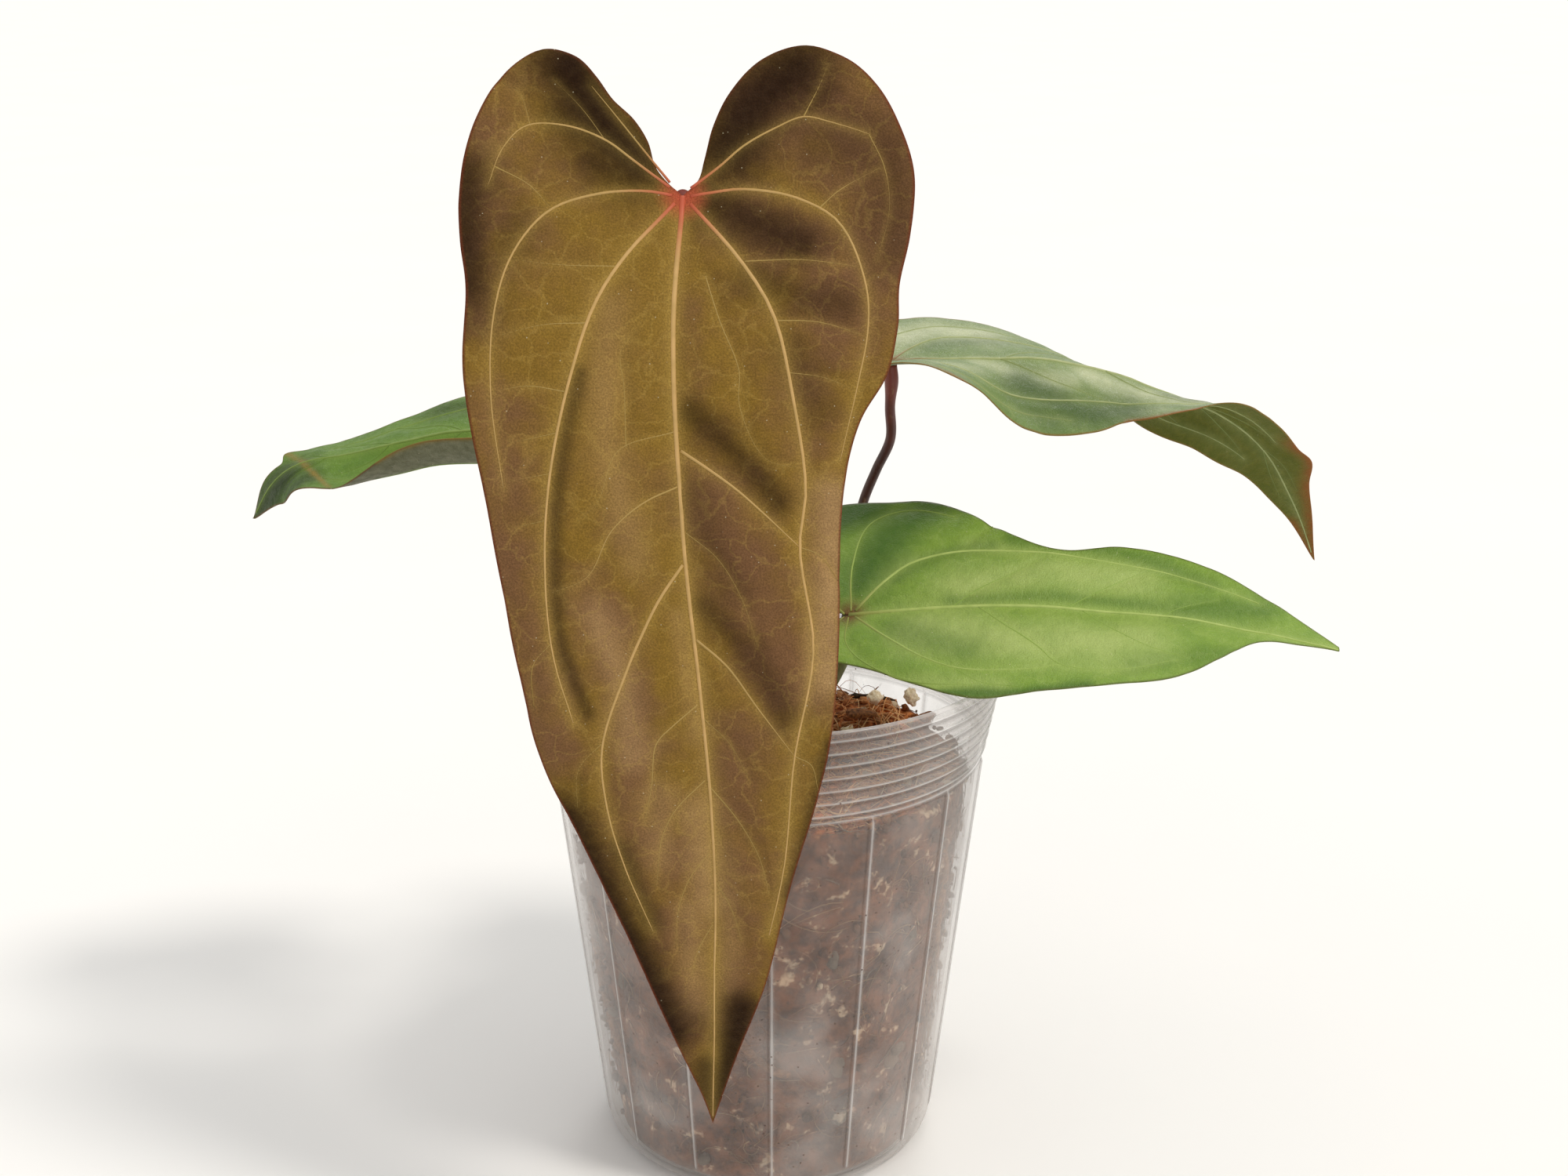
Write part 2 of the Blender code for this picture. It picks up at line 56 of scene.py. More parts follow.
# Camera: at the height of the leaf's lobes, looking down by 18 degrees
CAMERA_PLACE = (-0.006, -0.429, 0.268)
CAMERA_DOWN = 18.0
CAMERA_TURN = 1.28
LENS = 47.5

# Pot
POT_HEIGHT = 0.115
RIM_RADIUS = 0.052
WAIST_RADIUS = 0.0478
WAIST_HEIGHT = 0.0936
FOOT_RADIUS = 0.0378
FOOT_ROUND = 0.004
WALL = 0.0009
FLOOR = 0.0012
RIBS = 14
RIB_HALF_WIDTH = 0.00055
RIB_RISE = 0.00045
RINGS = 7
RING_RISE = 0.0004
DRAIN_HOLES = 8
DRAIN_RADIUS = 0.0035
DRAIN_CIRCLE = 0.027
# The inner face of the wall adds less milkiness than the outer one
INSIDE_SHARE = -0.6

# Mix
MIX_TOP = 0.088
MIX_RADIUS = 0.0443
MIX_SIDE_GAP = 0.0022
MIX_MOUND = 0.0015

# Light
WORLD_STRENGTH = 0.72
KEY_STRENGTH = 1.3
BACK_STRENGTH = 0.5

LEAVES = {
    "bronze_leaf": {
        "spine": [
            (-15.5, -34, 246), (-16, -46, 219), (-17.3, -57, 196), (-17, -63, 172), (-15.5, -66, 147),
            (-13, -67, 120), (-11.6, -66, 92), (-11.8, -63, 62), (-12.3, -60, 33),
        ],
        "facing": [
            (0, -0.93, 0.35), (0, -0.92, 0.4), (0, -0.96, 0.25), (0, -1, 0.1), (0, -1, 0.03),
            (0, -1, 0), (0, -1, -0.05), (0, -1, -0.08), (0, -1, -0.08),
        ],
        "section": [
            (-30, 6, 0, 4, 0), (0, 8, -2, 6, -3), (50, 12, -5, 10, -6), (110, 10, -6, 12, -6),
            (190, 14, 0, 14, 0),
        ],
        "left": [
            (0, 0), (-2.7, -2.2), (-5.1, -5.2), (-6.6, -9.9), (-9.2, -13.9), (-13.1, -17.6), (-16.3, -21.9),
            (-20.1, -25.3), (-26, -26.2), (-32.8, -21.7), (-37.7, -13.5), (-39.9, -5.5), (-40.5, 3.5),
            (-39.7, 12), (-38.1, 20), (-38.3, 33), (-35, 57), (-33, 80), (-31.2, 102), (-24.3, 122.5),
            (-16.5, 144), (-8.3, 167), (-2.5, 182), (0, 190),
        ],
        "left_lobe": 8,
        "right": [
            (0, 0), (2.8, -3), (3.9, -6.8), (5.5, -13.1), (8.7, -19.7), (14.3, -25.4), (22.5, -28.2),
            (30, -25.7), (35.6, -20.5), (39.8, -13.2), (42.4, -5), (42, 5), (40.4, 14), (40.4, 23),
            (38.5, 33.5), (33.5, 42.5), (30, 55), (27, 86), (23, 107), (15, 133), (10.3, 155), (5, 172),
            (0, 190),
        ],
        "right_lobe": 6,
        "stalk": [
            (-4.5, -6.5, 83.5), (-7, -9.5, 108), (-9, -12, 135), (-12, -17, 165), (-15, -25, 192),
            (-16.5, -33, 208),
        ],
        "stalk_radius": 1.4,
    },
    "low_green_leaf": {
        "spine": [
            (-1, -3, 119.5), (17.5, -7, 124.3), (42.5, -12, 127.7), (70, -17, 128.2), (96.5, -21.5, 126.2),
            (118.5, -26.3, 122.5),
        ],
        "facing": [
            (-0.1, -0.48, 0.86), (-0.05, -0.48, 0.88), (0, -0.48, 0.88),
            (0, -0.46, 0.88), (0.05, -0.42, 0.9), (0.1, -0.4, 0.9),
        ],
        "section": [(-20, 10, -4, 10, -4), (0, 10, -4, 10, -4), (50, 8, -4, 8, -4), (105, 8, -4, 8, -4)],
        "left": [
            (0, 0), (-2, -5), (-5, -9), (-9, -9.5), (-13, -5), (-17, 4), (-23.2, 16.5), (-26.5, 24.5),
            (-27.3, 30.5), (-25, 42), (-22.5, 55), (-20, 65.5), (-16.5, 72.6), (-11.3, 79), (-6, 83.8),
            (-2.9, 88), (-1.4, 95), (0, 105),
        ],
        "left_lobe": 3,
        "right": [
            (0, 0), (5, -10), (12, -18), (20, -20), (29, -14), (32.3, -3), (31.6, 8), (31.6, 14.5),
            (28, 23), (22.6, 30.4), (17.6, 39.5), (16.4, 46), (18.5, 57), (18.4, 65), (15.5, 76),
            (11, 84.5), (5.5, 94.7), (0, 105),
        ],
        "right_lobe": 3,
        "stalk": [(6.8, -4.2, 83.5), (9, -6.5, 98), (12, -8.5, 106), (15.5, -8.5, 113)],
        "stalk_radius": 1.2,
    },
    "drooping_green_leaf": {
        "spine": [
            (11, 22, 172), (28, 24, 173.5), (44, 25, 173.5), (65, 26, 173), (80, 27, 169.5),
            (93, 27.5, 164.5), (104, 28, 160), (114.5, 28.5, 151.5), (122, 29, 139), (128, 29, 125),
        ],
        "facing": [
            (0, -0.1, 1), (0, -0.1, 1), (0, -0.15, 1), (0, -0.15, 1), (0, -0.1, 1), (0.1, 0.3, 0.9),
            (0.3, 0.7, 0.6), (0.5, 0.8, 0.2), (0.5, 0.85, 0), (0.5, 0.85, 0),
        ],
        "section": [
            (-18, 15, 0, 2, 0), (0, 16, 0, 2, 0), (12, 14, -4, 2, -1), (27, -14, -5, -2, -2),
            (43, -20, -3, -12, -2), (56, -16, -2, -26, -4), (70, -18, 0, -40, -4), (85, -24, 0, -28, -4),
            (100, -12, 0, -5, 0), (122, 0, 0, 0, 0),
        ],
        "left": [
            (0, 0), (-4, -6), (-9, -12), (-15, -14), (-23, -8), (-26, 4), (-23, 19), (-24.2, 33),
            (-21, 46.5), (-17.6, 53), (-17.5, 60), (-14.5, 68), (-13, 77), (-10.5, 86), (-8.5, 93.5),
            (-9.5, 97), (-5.5, 103), (-2, 114), (0, 122),
        ],
        "left_lobe": 3,
        "right": [
            (0, 0), (4, -6), (9, -12), (15, -14), (25, -7), (28.5, 6), (28.5, 20), (23, 38), (16, 55),
            (10.7, 72), (9.7, 86), (6.2, 100), (2.4, 112), (0, 122),
        ],
        "right_lobe": 3,
        "stalk": [
            (6.5, 5, 83.5), (11.5, 8, 98), (16, 13, 108), (19.5, 24, 120), (21, 32, 131), (22.8, 33, 139),
            (25.5, 30.8, 147), (28.4, 28, 155), (28, 25.5, 163),
        ],
        "stalk_radius": 1.15,
    },
    "left_green_leaf": {
        "spine": [
            (-12, 18, 157), (-30, 20, 158.5), (-65.5, 21, 159), (-81.5, 22, 156), (-94, 22.5, 153),
            (-104, 23, 151), (-110.5, 23, 147), (-116, 23, 138.5),
        ],
        "facing": [
            (0, -0.1, 1), (0, -0.1, 1), (0, -0.15, 1), (0, -0.15, 1), (0, -0.1, 1), (-0.2, 0, 1),
            (-0.5, -0.3, 0.7), (-0.7, -0.5, 0.4),
        ],
        "section": [
            (-18, 0, 0, -6, 8), (0, 1, 0, -10, 12), (30, 5, -2, -36, 39), (42, 3, -2, -35, 41),
            (52, 1, -2, -34, 38), (68, 1, 0, -25, 20), (80, 4, 0, -15, 0), (93, -5, 0, -5, 0),
        ],
        "left": [
            (0, 0), (-4, -6), (-9, -12), (-15, -14), (-24, -7), (-26, 6), (-24, 22), (-20.5, 38), (-15, 54),
            (-12, 66), (-10, 74), (-9.6, 79.5), (-5, 80.5), (-3.6, 86), (0, 93),
        ],
        "left_lobe": 3,
        "right": [
            (0, 0), (4, -6), (9, -12), (15, -14), (24, -7), (27, 8), (28, 24), (26, 40), (24, 52),
            (21, 60), (15.5, 67), (13.2, 73), (11.5, 78), (6, 86), (0, 93),
        ],
        "right_lobe": 3,
        "stalk": [(-6.8, 4.6, 83.5), (-9, 7, 105), (-14, 11, 124), (-21, 16, 141), (-27, 19, 151)],
        "stalk_radius": 1.15,
    },
}

# Soft lines in flat leaf coordinates: (points, width, strength). This table is painted shade on the bronze
# leaf: cast shadows and the shaded slopes beside its sunken veins.
BRONZE_PAINTED_SHADE = [
    ([(-21, -23), (-15, -13), (-8, -6)], 7.0, 1.0), ([(-17, -6), (-10, -3)], 4.0, 0.7),
    ([(8, -9), (13, -17), (21, -24)], 7.5, 0.95), ([(6, 1), (14, 5), (22, 8)], 5.0, 0.75),
    ([(14, 15), (22, 18), (30, 19)], 4.5, 0.45), ([(21, 28), (26, 40)], 4.5, 0.3),
    ([(26, -12), (36, -8), (39, 6)], 8.0, 0.35), ([(-40, -2), (-39, 8), (-38, 19)], 5.0, 0.8),
    ([(-30, 8), (-34, 16), (-36, 24)], 4.5, 0.35), ([(2.5, 40), (8, 45), (14, 51), (18, 57)], 3.0, 0.6),
    ([(3, 76), (8, 82), (13, 90), (16, 98)], 3.0, 0.45), ([(3, 55), (5, 64), (8, 74)], 4.0, 0.25),
    ([(-17.5, 33), (-21, 47), (-23.6, 64), (-24, 80), (-21, 94)], 1.5, 0.5),
    ([(-28, 116), (-22, 132), (-16, 147), (-9, 166)], 5.2, 1.0), ([(-18, 124), (-13, 140)], 3.5, 0.6),
    ([(6, 160), (4, 170), (1, 184)], 3.6, 0.95), ([(24, 104), (19, 121), (15, 134)], 1.8, 0.6),
    ([(-1, 176), (0, 190)], 4.0, 0.85),
]
# The bronze leaf's own mauve tint, partly painted shade where its quilted faces turn away from the light
BRONZE_MAUVE_AND_SHADE = [
    ([(7, 56), (12, 72), (17, 92)], 9.0, 0.85), ([(8, 100), (6, 116)], 8.0, 0.7),
    ([(-32, 40), (-31, 70), (-28, 100)], 7.0, 0.7), ([(-17, 74), (-13, 92), (-15, 112)], 6.0, 0.7),
    ([(-12, 122), (0, 136), (8, 128)], 11.0, 0.6), ([(33, -14), (37, 0), (30, 22)], 11.0, 0.85),
    ([(-35, -12), (-36, 6)], 8.0, 0.6), ([(27, 60), (24, 84)], 6.0, 0.5), ([(-9, 50), (-12, 60)], 4.0, 0.3),
    ([(3, 20), (4, 36)], 3.0, 0.4), ([(-22, -4), (-30, -2)], 7.0, 0.4),
    ([(17, -16), (28, -18), (32, -6)], 11.0, 0.8), ([(14, 5), (25, 10), (31, 24)], 9.0, 0.75),
    ([(-26, 8), (-30, 16)], 6.0, 0.4), ([(-8, 138), (-5, 166)], 7.0, 0.6), ([(6, 138), (4, 162)], 6.0, 0.6),
    ([(-36, -8), (-37, 10), (-36, 24)], 4.5, 0.6), ([(-31, -20), (-24, -24)], 3.5, 0.4),
    ([(22, 30), (25, 46)], 7.0, 0.5),
]
# Painted sheen: pale streaks where the light catches the bronze leaf's folds and ridges
BRONZE_PAINTED_SHEEN = [
    ([(28, 56), (26.5, 74), (24, 92)], 3.5, 0.8), ([(-17, 76), (-14, 90), (-13, 104)], 3.5, 0.55),
    ([(-2, 118), (0, 136)], 4.5, 0.6), ([(-12, 22), (-13, 44), (-9, 66)], 3.5, 0.35),
    ([(-9, 112), (-10, 126)], 4.0, 0.35), ([(-2, 78), (-1, 100)], 2.5, 0.3),
    ([(-5, 138), (-4, 160)], 3.5, 0.4), ([(3, 140), (3, 156)], 2.5, 0.3),
]
# Painted sheen on the green leaves: their broad pale highlights, one table for each leaf
LOW_PAINTED_SHEEN = [
    ([(-7, 18), (-11, 36), (-9, 62)], 7.5, 0.85), ([(6, 24), (9, 42), (9, 62)], 5.5, 0.75),
    ([(17, 26), (13, 44)], 3.0, 0.4), ([(-22, 16), (-24, 34)], 3.0, 0.5), ([(8, 6), (13, 12)], 3.0, 0.4),
]
DROOPING_PAINTED_SHEEN = [
    ([(12, -2), (18, 8), (17, 22)], 8.0, 0.9), ([(-3, 20), (-7, 30), (-6, 40)], 3.5, 0.7),
    ([(-3, 44), (-6, 58), (-6, 72)], 4.5, 0.8), ([(-12, 8), (-8, 18)], 3.0, 0.5),
    ([(-15, 48), (-14, 60)], 2.5, 0.4),
]
# Painted shade on the green leaves, in the same form, one table for each leaf
LOW_PAINTED_SHADE = [
    ([(8, 2), (20, 8), (28, 16)], 6.0, 0.75), ([(14, -12), (26, -10), (30, 2)], 6.0, 0.8),
    ([(-26, 22), (-26, 36), (-23, 52)], 1.6, 0.7), ([(1.5, 22), (3, 48), (2, 76)], 1.6, 0.35),
    ([(-6, 10), (-14, 26)], 4.0, 0.3), ([(2, 70), (6, 86)], 3.5, 0.45),
    ([(19, 34), (17, 56), (11, 76)], 2.5, 0.4), ([(8, 10), (14, 18), (17, 30)], 2.0, 0.4),
    ([(-16, 62), (-9, 80)], 3.0, 0.25),
]
DROOPING_PAINTED_SHADE = [
    ([(-9, 28), (-16, 42), (-13, 54)], 4.5, 0.75), ([(-14, 26), (-20, 34)], 4.0, 0.4),
    ([(8, 10), (14, 26)], 4.0, 0.3), ([(-4, 64), (-5, 84)], 3.0, 0.4),
]
LEFT_PAINTED_SHADE = [
    ([(2, 80), (1, 93)], 6.0, 0.95), ([(8, 72), (12, 78)], 4.0, 0.6), ([(-10, 20), (-14, 44)], 5.0, 0.5),
    ([(16, 44), (18, 56)], 4.0, 0.35),
]
# Dried edges and old tears, as (points, width, strength)
DROOPING_DRY = [
    ([(-8.5, 93), (-9.5, 97), (-5.5, 103), (-2, 114), (0, 122), (2.4, 112)], 2.2, 1.0),
    ([(-25, 2), (-24, 12)], 0.8, 0.8), ([(-17.6, 53), (-17.5, 60), (-14.5, 68)], 0.9, 0.9),
]
LEFT_DRY = [
    ([(15, 66), (9, 69), (4, 72.5), (-3, 76), (-9.6, 79.5)], 0.7, 0.9),
    ([(28, 26), (26, 40), (24, 52)], 0.6, 0.7),
]
LOW_DRY = [([(0, 0), (0.5, 0.5)], 2.2, 0.9)]

# Loose pieces: each perlite lump's size in millimetres, and each chip's length with its turn in degrees
PERLITE = [4.2, 4.6, 2.8, 3.4, 3, 3]
CHIPS = [(6, 60), (6, 110), (8, 160), (7, 70), (7, 15)]
TWIG = [(20.5, 31.5, 91.2), (24, 29.8, 91.8), (27.5, 28.4, 91.9), (30.5, 27.6, 91.2)]

# Roots: height in millimetres and compass angle in degrees from -Y, growing towards +X
ROOTS = {
    "root_front": [(52, -24), (44, -15), (36, -6), (31, 3), (30, 12)],
    "root_right": [(79, 62), (70, 66), (58, 64), (44, 70), (30, 76)],
    "root_back": [(80, 170), (66, 176), (50, 172), (34, 180), (22, 190)],
    "root_left": [(70, -80), (56, -74), (42, -78), (30, -70), (16, -66)],
}
ROOT_RADIUS = 0.0013
ROOT_GAP = 0.0006

# Veins in flat leaf coordinates: (thickness, points). Thickness 1 is the midrib's.
VEINS = {
    "bronze_leaf": [
        (1.0, [(0, 0), (-0.6, 20), (0, 60), (0.4, 110), (0, 188)]),
        (0.75, [(-1.5, 1.5), (-9, 11), (-15, 21.5), (-19, 33), (-23, 48), (-25.5, 64), (-26, 82), (-24, 96)]),
        (0.6, [(-2, 0), (-7, -0.5), (-15.5, 0.5), (-24, 4.5), (-30, 13), (-33, 24), (-33.5, 36), (-32, 52)]),
        (0.55, [(-2.5, -1.5), (-9.5, -6.5), (-14.5, -10), (-22.5, -12.5), (-29, -12), (-33, -7.5),
            (-35.5, 0)]),
        (0.3, [(-34.3, -4), (-28, -0.5), (-24, 4)]),
        (0.45, [(-2.5, -2.5), (-7.5, -8.5), (-12, -14), (-17, -20)]),
        (0.3, [(-11.5, 14.5), (-20, 15), (-30.5, 14.5)]),
        (0.3, [(-16, 24.5), (-24, 25), (-33, 27)]),
        (0.28, [(-20.3, 36), (-27, 35), (-33.5, 36)]),
        (0.22, [(-22, 43), (-30.5, 44.5)]),
        (0.22, [(-23.5, 50), (-31, 51)]),
        (0.22, [(-25, 58), (-31, 59)]),
        (0.4, [(-0.5, 53.5), (-7, 56), (-13, 60.5), (-18, 68.5), (-25, 71)]),
        (0.65, [(-0.5, 68), (-5, 73.5), (-8.5, 79), (-12.5, 86), (-19, 101), (-19.5, 113), (-17, 127),
            (-12, 142)]),
        (0.35, [(-0.5, 95), (-5.5, 98.5), (-9, 102), (-10.5, 110), (-12.5, 118)]),
        (0.3, [(-0.5, 43.5), (-11, 46.5), (-15, 55), (-19, 58.5)]),
        (0.22, [(-9.5, 46), (-9.5, 35.5), (-10, 29), (-5.5, 23)]),
        (0.3, [(-0.5, 110.5), (-6.5, 116), (-9.5, 122), (-11, 132)]),
        (0.25, [(-0.5, 126), (-4.5, 131), (-7, 138), (-7.5, 146)]),
        (0.25, [(-0.3, 142), (-3, 147), (-4.5, 153)]),
        (0.22, [(-26, 80), (-30, 84), (-31, 92)]),
        (0.22, [(-19.3, 101), (-24, 106), (-25, 114)]),
        (0.2, [(-28, -12), (-30, -18), (-33, -20)]),
        (0.2, [(-14.5, -10), (-19, -16), (-24, -21)]),
        (0.75, [(1.5, 1.5), (10.5, 11), (17.5, 21.5), (21.5, 39.5), (23, 55), (21.3, 66), (22.3, 86),
            (17, 106), (14, 128), (11, 143)]),
        (0.6, [(1.5, 0), (5, -0.7), (11, -1.5), (21.5, 0), (29, 4), (34, 14), (35, 24), (33, 36),
            (29.5, 50)]),
        (0.55, [(1.5, -1.5), (6.5, -5.5), (11, -9.5), (17, -13), (22, -15), (27, -14), (34, -12)]),
        (0.3, [(22, -15), (25, -21), (26.5, -25)]),
        (0.3, [(25, 1.5), (29, -2), (36, -6)]),
        (0.25, [(34, -12), (37, -6), (38, 1), (36, 10)]),
        (0.3, [(12, 12), (22, 11), (33, 11.5)]),
        (0.3, [(18, 23), (26, 23), (34.5, 25.5)]),
        (0.22, [(20.5, 33), (27, 34), (33.5, 37)]),
        (0.6, [(0.5, 47), (5.5, 50.5), (10.5, 54.5), (15.5, 59.5), (21.3, 66)]),
        (0.25, [(21.3, 66), (25, 68), (28, 73)]),
        (0.5, [(0.7, 82.5), (6, 88), (11, 96.5), (17, 106)]),
        (0.25, [(17, 106), (20, 108), (21, 113)]),
        (0.28, [(5, 15), (8, 23.5), (11.5, 32.5), (11.5, 39), (16, 49), (22.5, 51)]),
        (0.3, [(0.5, 112), (5, 118), (9, 126), (11, 134)]),
        (0.25, [(0.3, 132), (3.5, 138), (5.5, 145)]),
        (0.2, [(0.6, 62), (6, 67), (10, 75), (12, 84)]),
        (0.2, [(0.6, 98), (5, 103), (8, 110)]),
    ],
    "low_green_leaf": [
        (1.0, [(0, 0), (0.4, 50), (0, 106)]),
        (0.7, [(1, 1.5), (8.5, 8), (13, 14), (15.5, 24), (15.3, 40), (14, 54), (12, 70), (8, 86)]),
        (0.5, [(1, 0.5), (14, 0.5), (25.5, 4), (29, 12), (26, 22)]),
        (0.5, [(0.5, -1), (8, -7), (17, -13), (25, -11), (29, -4)]),
        (0.6, [(-1, 1.5), (-10.5, 11), (-16, 18), (-19, 26), (-19, 38), (-17, 46)]),
        (0.4, [(-1, 0), (-9, 0), (-17, 6), (-22.5, 16), (-23.5, 28)]),
        (0.3, [(-0.5, -1), (-4, -4), (-9, -6)]),
        (0.45, [(0, 28), (-6, 34), (-12, 41), (-17, 46), (-17.5, 58), (-13, 70)]),
        (0.3, [(0, 50), (-5, 56), (-10, 64), (-12, 72)]),
        (0.3, [(0, 68), (-3.5, 74), (-6, 82)]),
        (0.3, [(0, 22), (5, 28), (10, 36), (15, 42)]),
        (0.3, [(0, 46), (4, 51), (9, 58), (13, 64)]),
        (0.25, [(0, 66), (3.5, 71), (7, 78)]),
        (0.2, [(-19, 24), (-23, 30), (-24, 38)]),
        (0.2, [(15.5, 24), (20, 27), (23, 30)]),
    ],
}
# The two upper green leaves share a pattern, as (thickness, points). There x is a share of the half width,
# and y a share of the length.
SHARED_VEINS = [
    (0.65, [(0.02, 0.0), (0.3, 0.05), (0.48, 0.12), (0.56, 0.24), (0.58, 0.4), (0.6, 0.56), (0.55, 0.74)]),
    (0.5, [(0.02, 0.0), (0.4, -0.01), (0.68, 0.05), (0.8, 0.16), (0.82, 0.32)]),
    (0.4, [(0.02, -0.02), (0.3, -0.07), (0.6, -0.09), (0.85, -0.03)]),
    (0.4, [(0.0, 0.2), (0.2, 0.26), (0.4, 0.34), (0.57, 0.4)]),
    (0.4, [(0.0, 0.4), (0.2, 0.46), (0.42, 0.54), (0.6, 0.58)]),
    (0.3, [(0.0, 0.58), (0.22, 0.64), (0.45, 0.72)]),
    (0.25, [(0.0, 0.74), (0.25, 0.79), (0.45, 0.85)]),
]
BLADE_MIDDLE = 0.45
BLADE_MARGIN = 0.22
MIDRIB_WIDTH = 1.15
# Points from one control point of a curve to the next, and along and round a vein
CURVE_STEPS = 20
VEIN_POINTS = 40
VEIN_SIDES = 8


# ---------------------------------------------------------------- small tools


def linear(code):
    """An sRGB hex colour as linear RGBA."""
    parts = np.array([int(code[i : i + 2], 16) for i in (1, 3, 5)]) / 255
    parts = np.where(parts <= 0.04045, parts / 12.92, ((parts + 0.055) / 1.055) ** 2.4)
    return (*parts, 1.0)


USUAL_SETTINGS = {"MapRange": {"interpolation_type": "SMOOTHSTEP"}, "Mix": {"data_type": "RGBA"}}


def fill(tree, socket, value):
    """Links a socket to another one, or sets its own value."""
    if isinstance(value, bpy.types.NodeSocket):
        tree.links.new(value, socket)
    else:
        socket.default_value = value


def add_node(tree, kind, *inputs, out=None, named=None, **settings):
    """Adds a shader node with its settings, fills its sockets in order and by name, and returns an output."""
    made = tree.nodes.new("ShaderNode" + kind)
    for name, value in {**USUAL_SETTINGS.get(kind, {}), **settings}.items():
        setattr(made, name, value)
    in_use = [socket for socket in made.inputs if socket.enabled]
    for socket, value in zip(in_use, inputs):
        fill(tree, socket, value)
    for key, value in (named or {}).items():
        fill(tree, made.inputs[key], value)
    return made.outputs[out] if out else next(socket for socket in made.outputs if socket.enabled)


def new_material(name):
    """A new material, a function that adds a node to it, and one that fills its Principled shader."""
    made = bpy.data.materials.new(name)
    made.use_nodes = True
    tree = made.node_tree
    shader = tree.nodes["Principled BSDF"]

    def finish(inputs):
        """Fills the Principled shader's sockets by name."""
        for key, value in inputs.items():
            fill(tree, shader.inputs[key], value)

    return made, functools.partial(add_node, tree), finish


def unit(vectors):
    """Each vector over its own length."""
    return vectors / np.maximum(np.linalg.norm(vectors, axis=-1, keepdims=True), 1e-12)


def smooth_curve(points, steps=CURVE_STEPS):
    """A centripetal Catmull-Rom curve through the points, as a dense polyline."""
    p = np.asarray(points, float)
    p = np.vstack([2 * p[0] - p[1], p, 2 * p[-1] - p[-2]])
    t = np.linspace(0, 1, steps, endpoint=False)[:, None]
    pieces = []
    for a, b, c, d in zip(p[:-3], p[1:-2], p[2:-1], p[3:]):
        ab, bc, cd = (np.linalg.norm(far - near) ** 0.5 + 1e-9 for near, far in ((a, b), (b, c), (c, d)))
        leave = ((b - a) / ab - (c - a) / (ab + bc) + (c - b) / bc) * bc
        arrive = ((c - b) / bc - (d - b) / (bc + cd) + (d - c) / cd) * bc
        pieces.append(
            (2 * t**3 - 3 * t**2 + 1) * b + (t**3 - 2 * t**2 + t) * leave
            + (3 * t**2 - 2 * t**3) * c + (t**3 - t**2) * arrive
        )
    return np.vstack(pieces + [p[-2:-1]])


def run_lengths(curve):
    """The distance along a polyline to each of its points: the running sum of its segments' lengths."""
    return np.concatenate([[0], np.cumsum(np.linalg.norm(np.diff(curve, axis=0), axis=1))])


def read_curve(curve, positions, at):
    """The curve's points at these positions, where "positions" are those of its own points."""
    return np.stack([np.interp(at, positions, curve[:, i]) for i in range(curve.shape[1])], axis=-1)


def by_fraction(curve, fraction):
    """The polyline's points at these fractions of its whole length."""
    length = run_lengths(curve)
    return read_curve(curve, length, np.asarray(fraction) * length[-1])


def rough(points, size, seed):
    """Value noise from -1 to 1: random values on a lattice of this spacing.

    Between two corners they are eased by t^2 (3 - 2t).
    """
    lattice = np.random.RandomState(seed).uniform(-1, 1, (24, 24, 24))
    scaled = np.asarray(points, float) / size + 100
    cell = np.floor(scaled).astype(int)
    t = scaled - cell
    t = t * t * (3 - 2 * t)
    total = np.zeros(scaled.shape[:-1])
    for corner in np.ndindex(2, 2, 2):
        weight = np.prod(np.where(corner, t, 1 - t), axis=-1)
        x, y, z = ((cell[..., i] + corner[i]) % 24 for i in range(3))
        total += weight * lattice[x, y, z]
    return total


def make_object(name, points, faces, finishes, face_finish=None, attributes=None):
    """A smooth-shaded mesh object. Points are in metres, and faces are arrays of quads or triangles.

    An attribute is one vector for each point, or one number, which goes in the vector's x.
    """
    mesh = bpy.data.meshes.new(name)
    mesh.from_pydata(np.asarray(points).tolist(), [], [face for block in faces for face in block.tolist()])
    for finish in finishes:
        mesh.materials.append(finish)
    if face_finish is not None:
        mesh.polygons.foreach_set("material_index", np.asarray(face_finish, np.int32))
    for key, values in (attributes or {}).items():
        if values.ndim == 1:
            values = np.stack([values, 0 * values, 0 * values], 1)
        layer = mesh.attributes.new(key, "FLOAT_VECTOR", "POINT")
        layer.data.foreach_set("vector", values.astype(np.float32).ravel())
    mesh.shade_smooth()
    made = bpy.data.objects.new(name, mesh)
    bpy.context.scene.collection.objects.link(made)
    return made


def stand_for(piece, slot, *nodes):
    """Rides on the body and stands for these CAD nodes. The slot is not used."""
    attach(piece, "root")
    if nodes:
        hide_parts(*nodes)


def grid_faces(rows, columns, wrap=False):
    """Quads of a grid of points numbered row by row. A wrapped grid joins its last column to its first."""
    r = np.arange(rows - 1)[:, None]
    c = np.arange(columns if wrap else columns - 1)[None]
    d = (c + 1) % columns
    row, after = r * columns, (r + 1) * columns
    return np.stack([row + c, after + c, after + d, row + d], -1).reshape(-1, 4)


def end_caps(rows, columns):
    """Triangles that close a wrapped grid's end rows on two middle points, numbered after the grid."""
    j = np.arange(columns)
    k = (j + 1) % columns
    count = rows * columns
    last = count - columns
    return np.concatenate([
        np.stack([k, j, np.full(columns, count)], 1),
        np.stack([last + j, last + k, np.full(columns, count + 1)], 1),
    ])


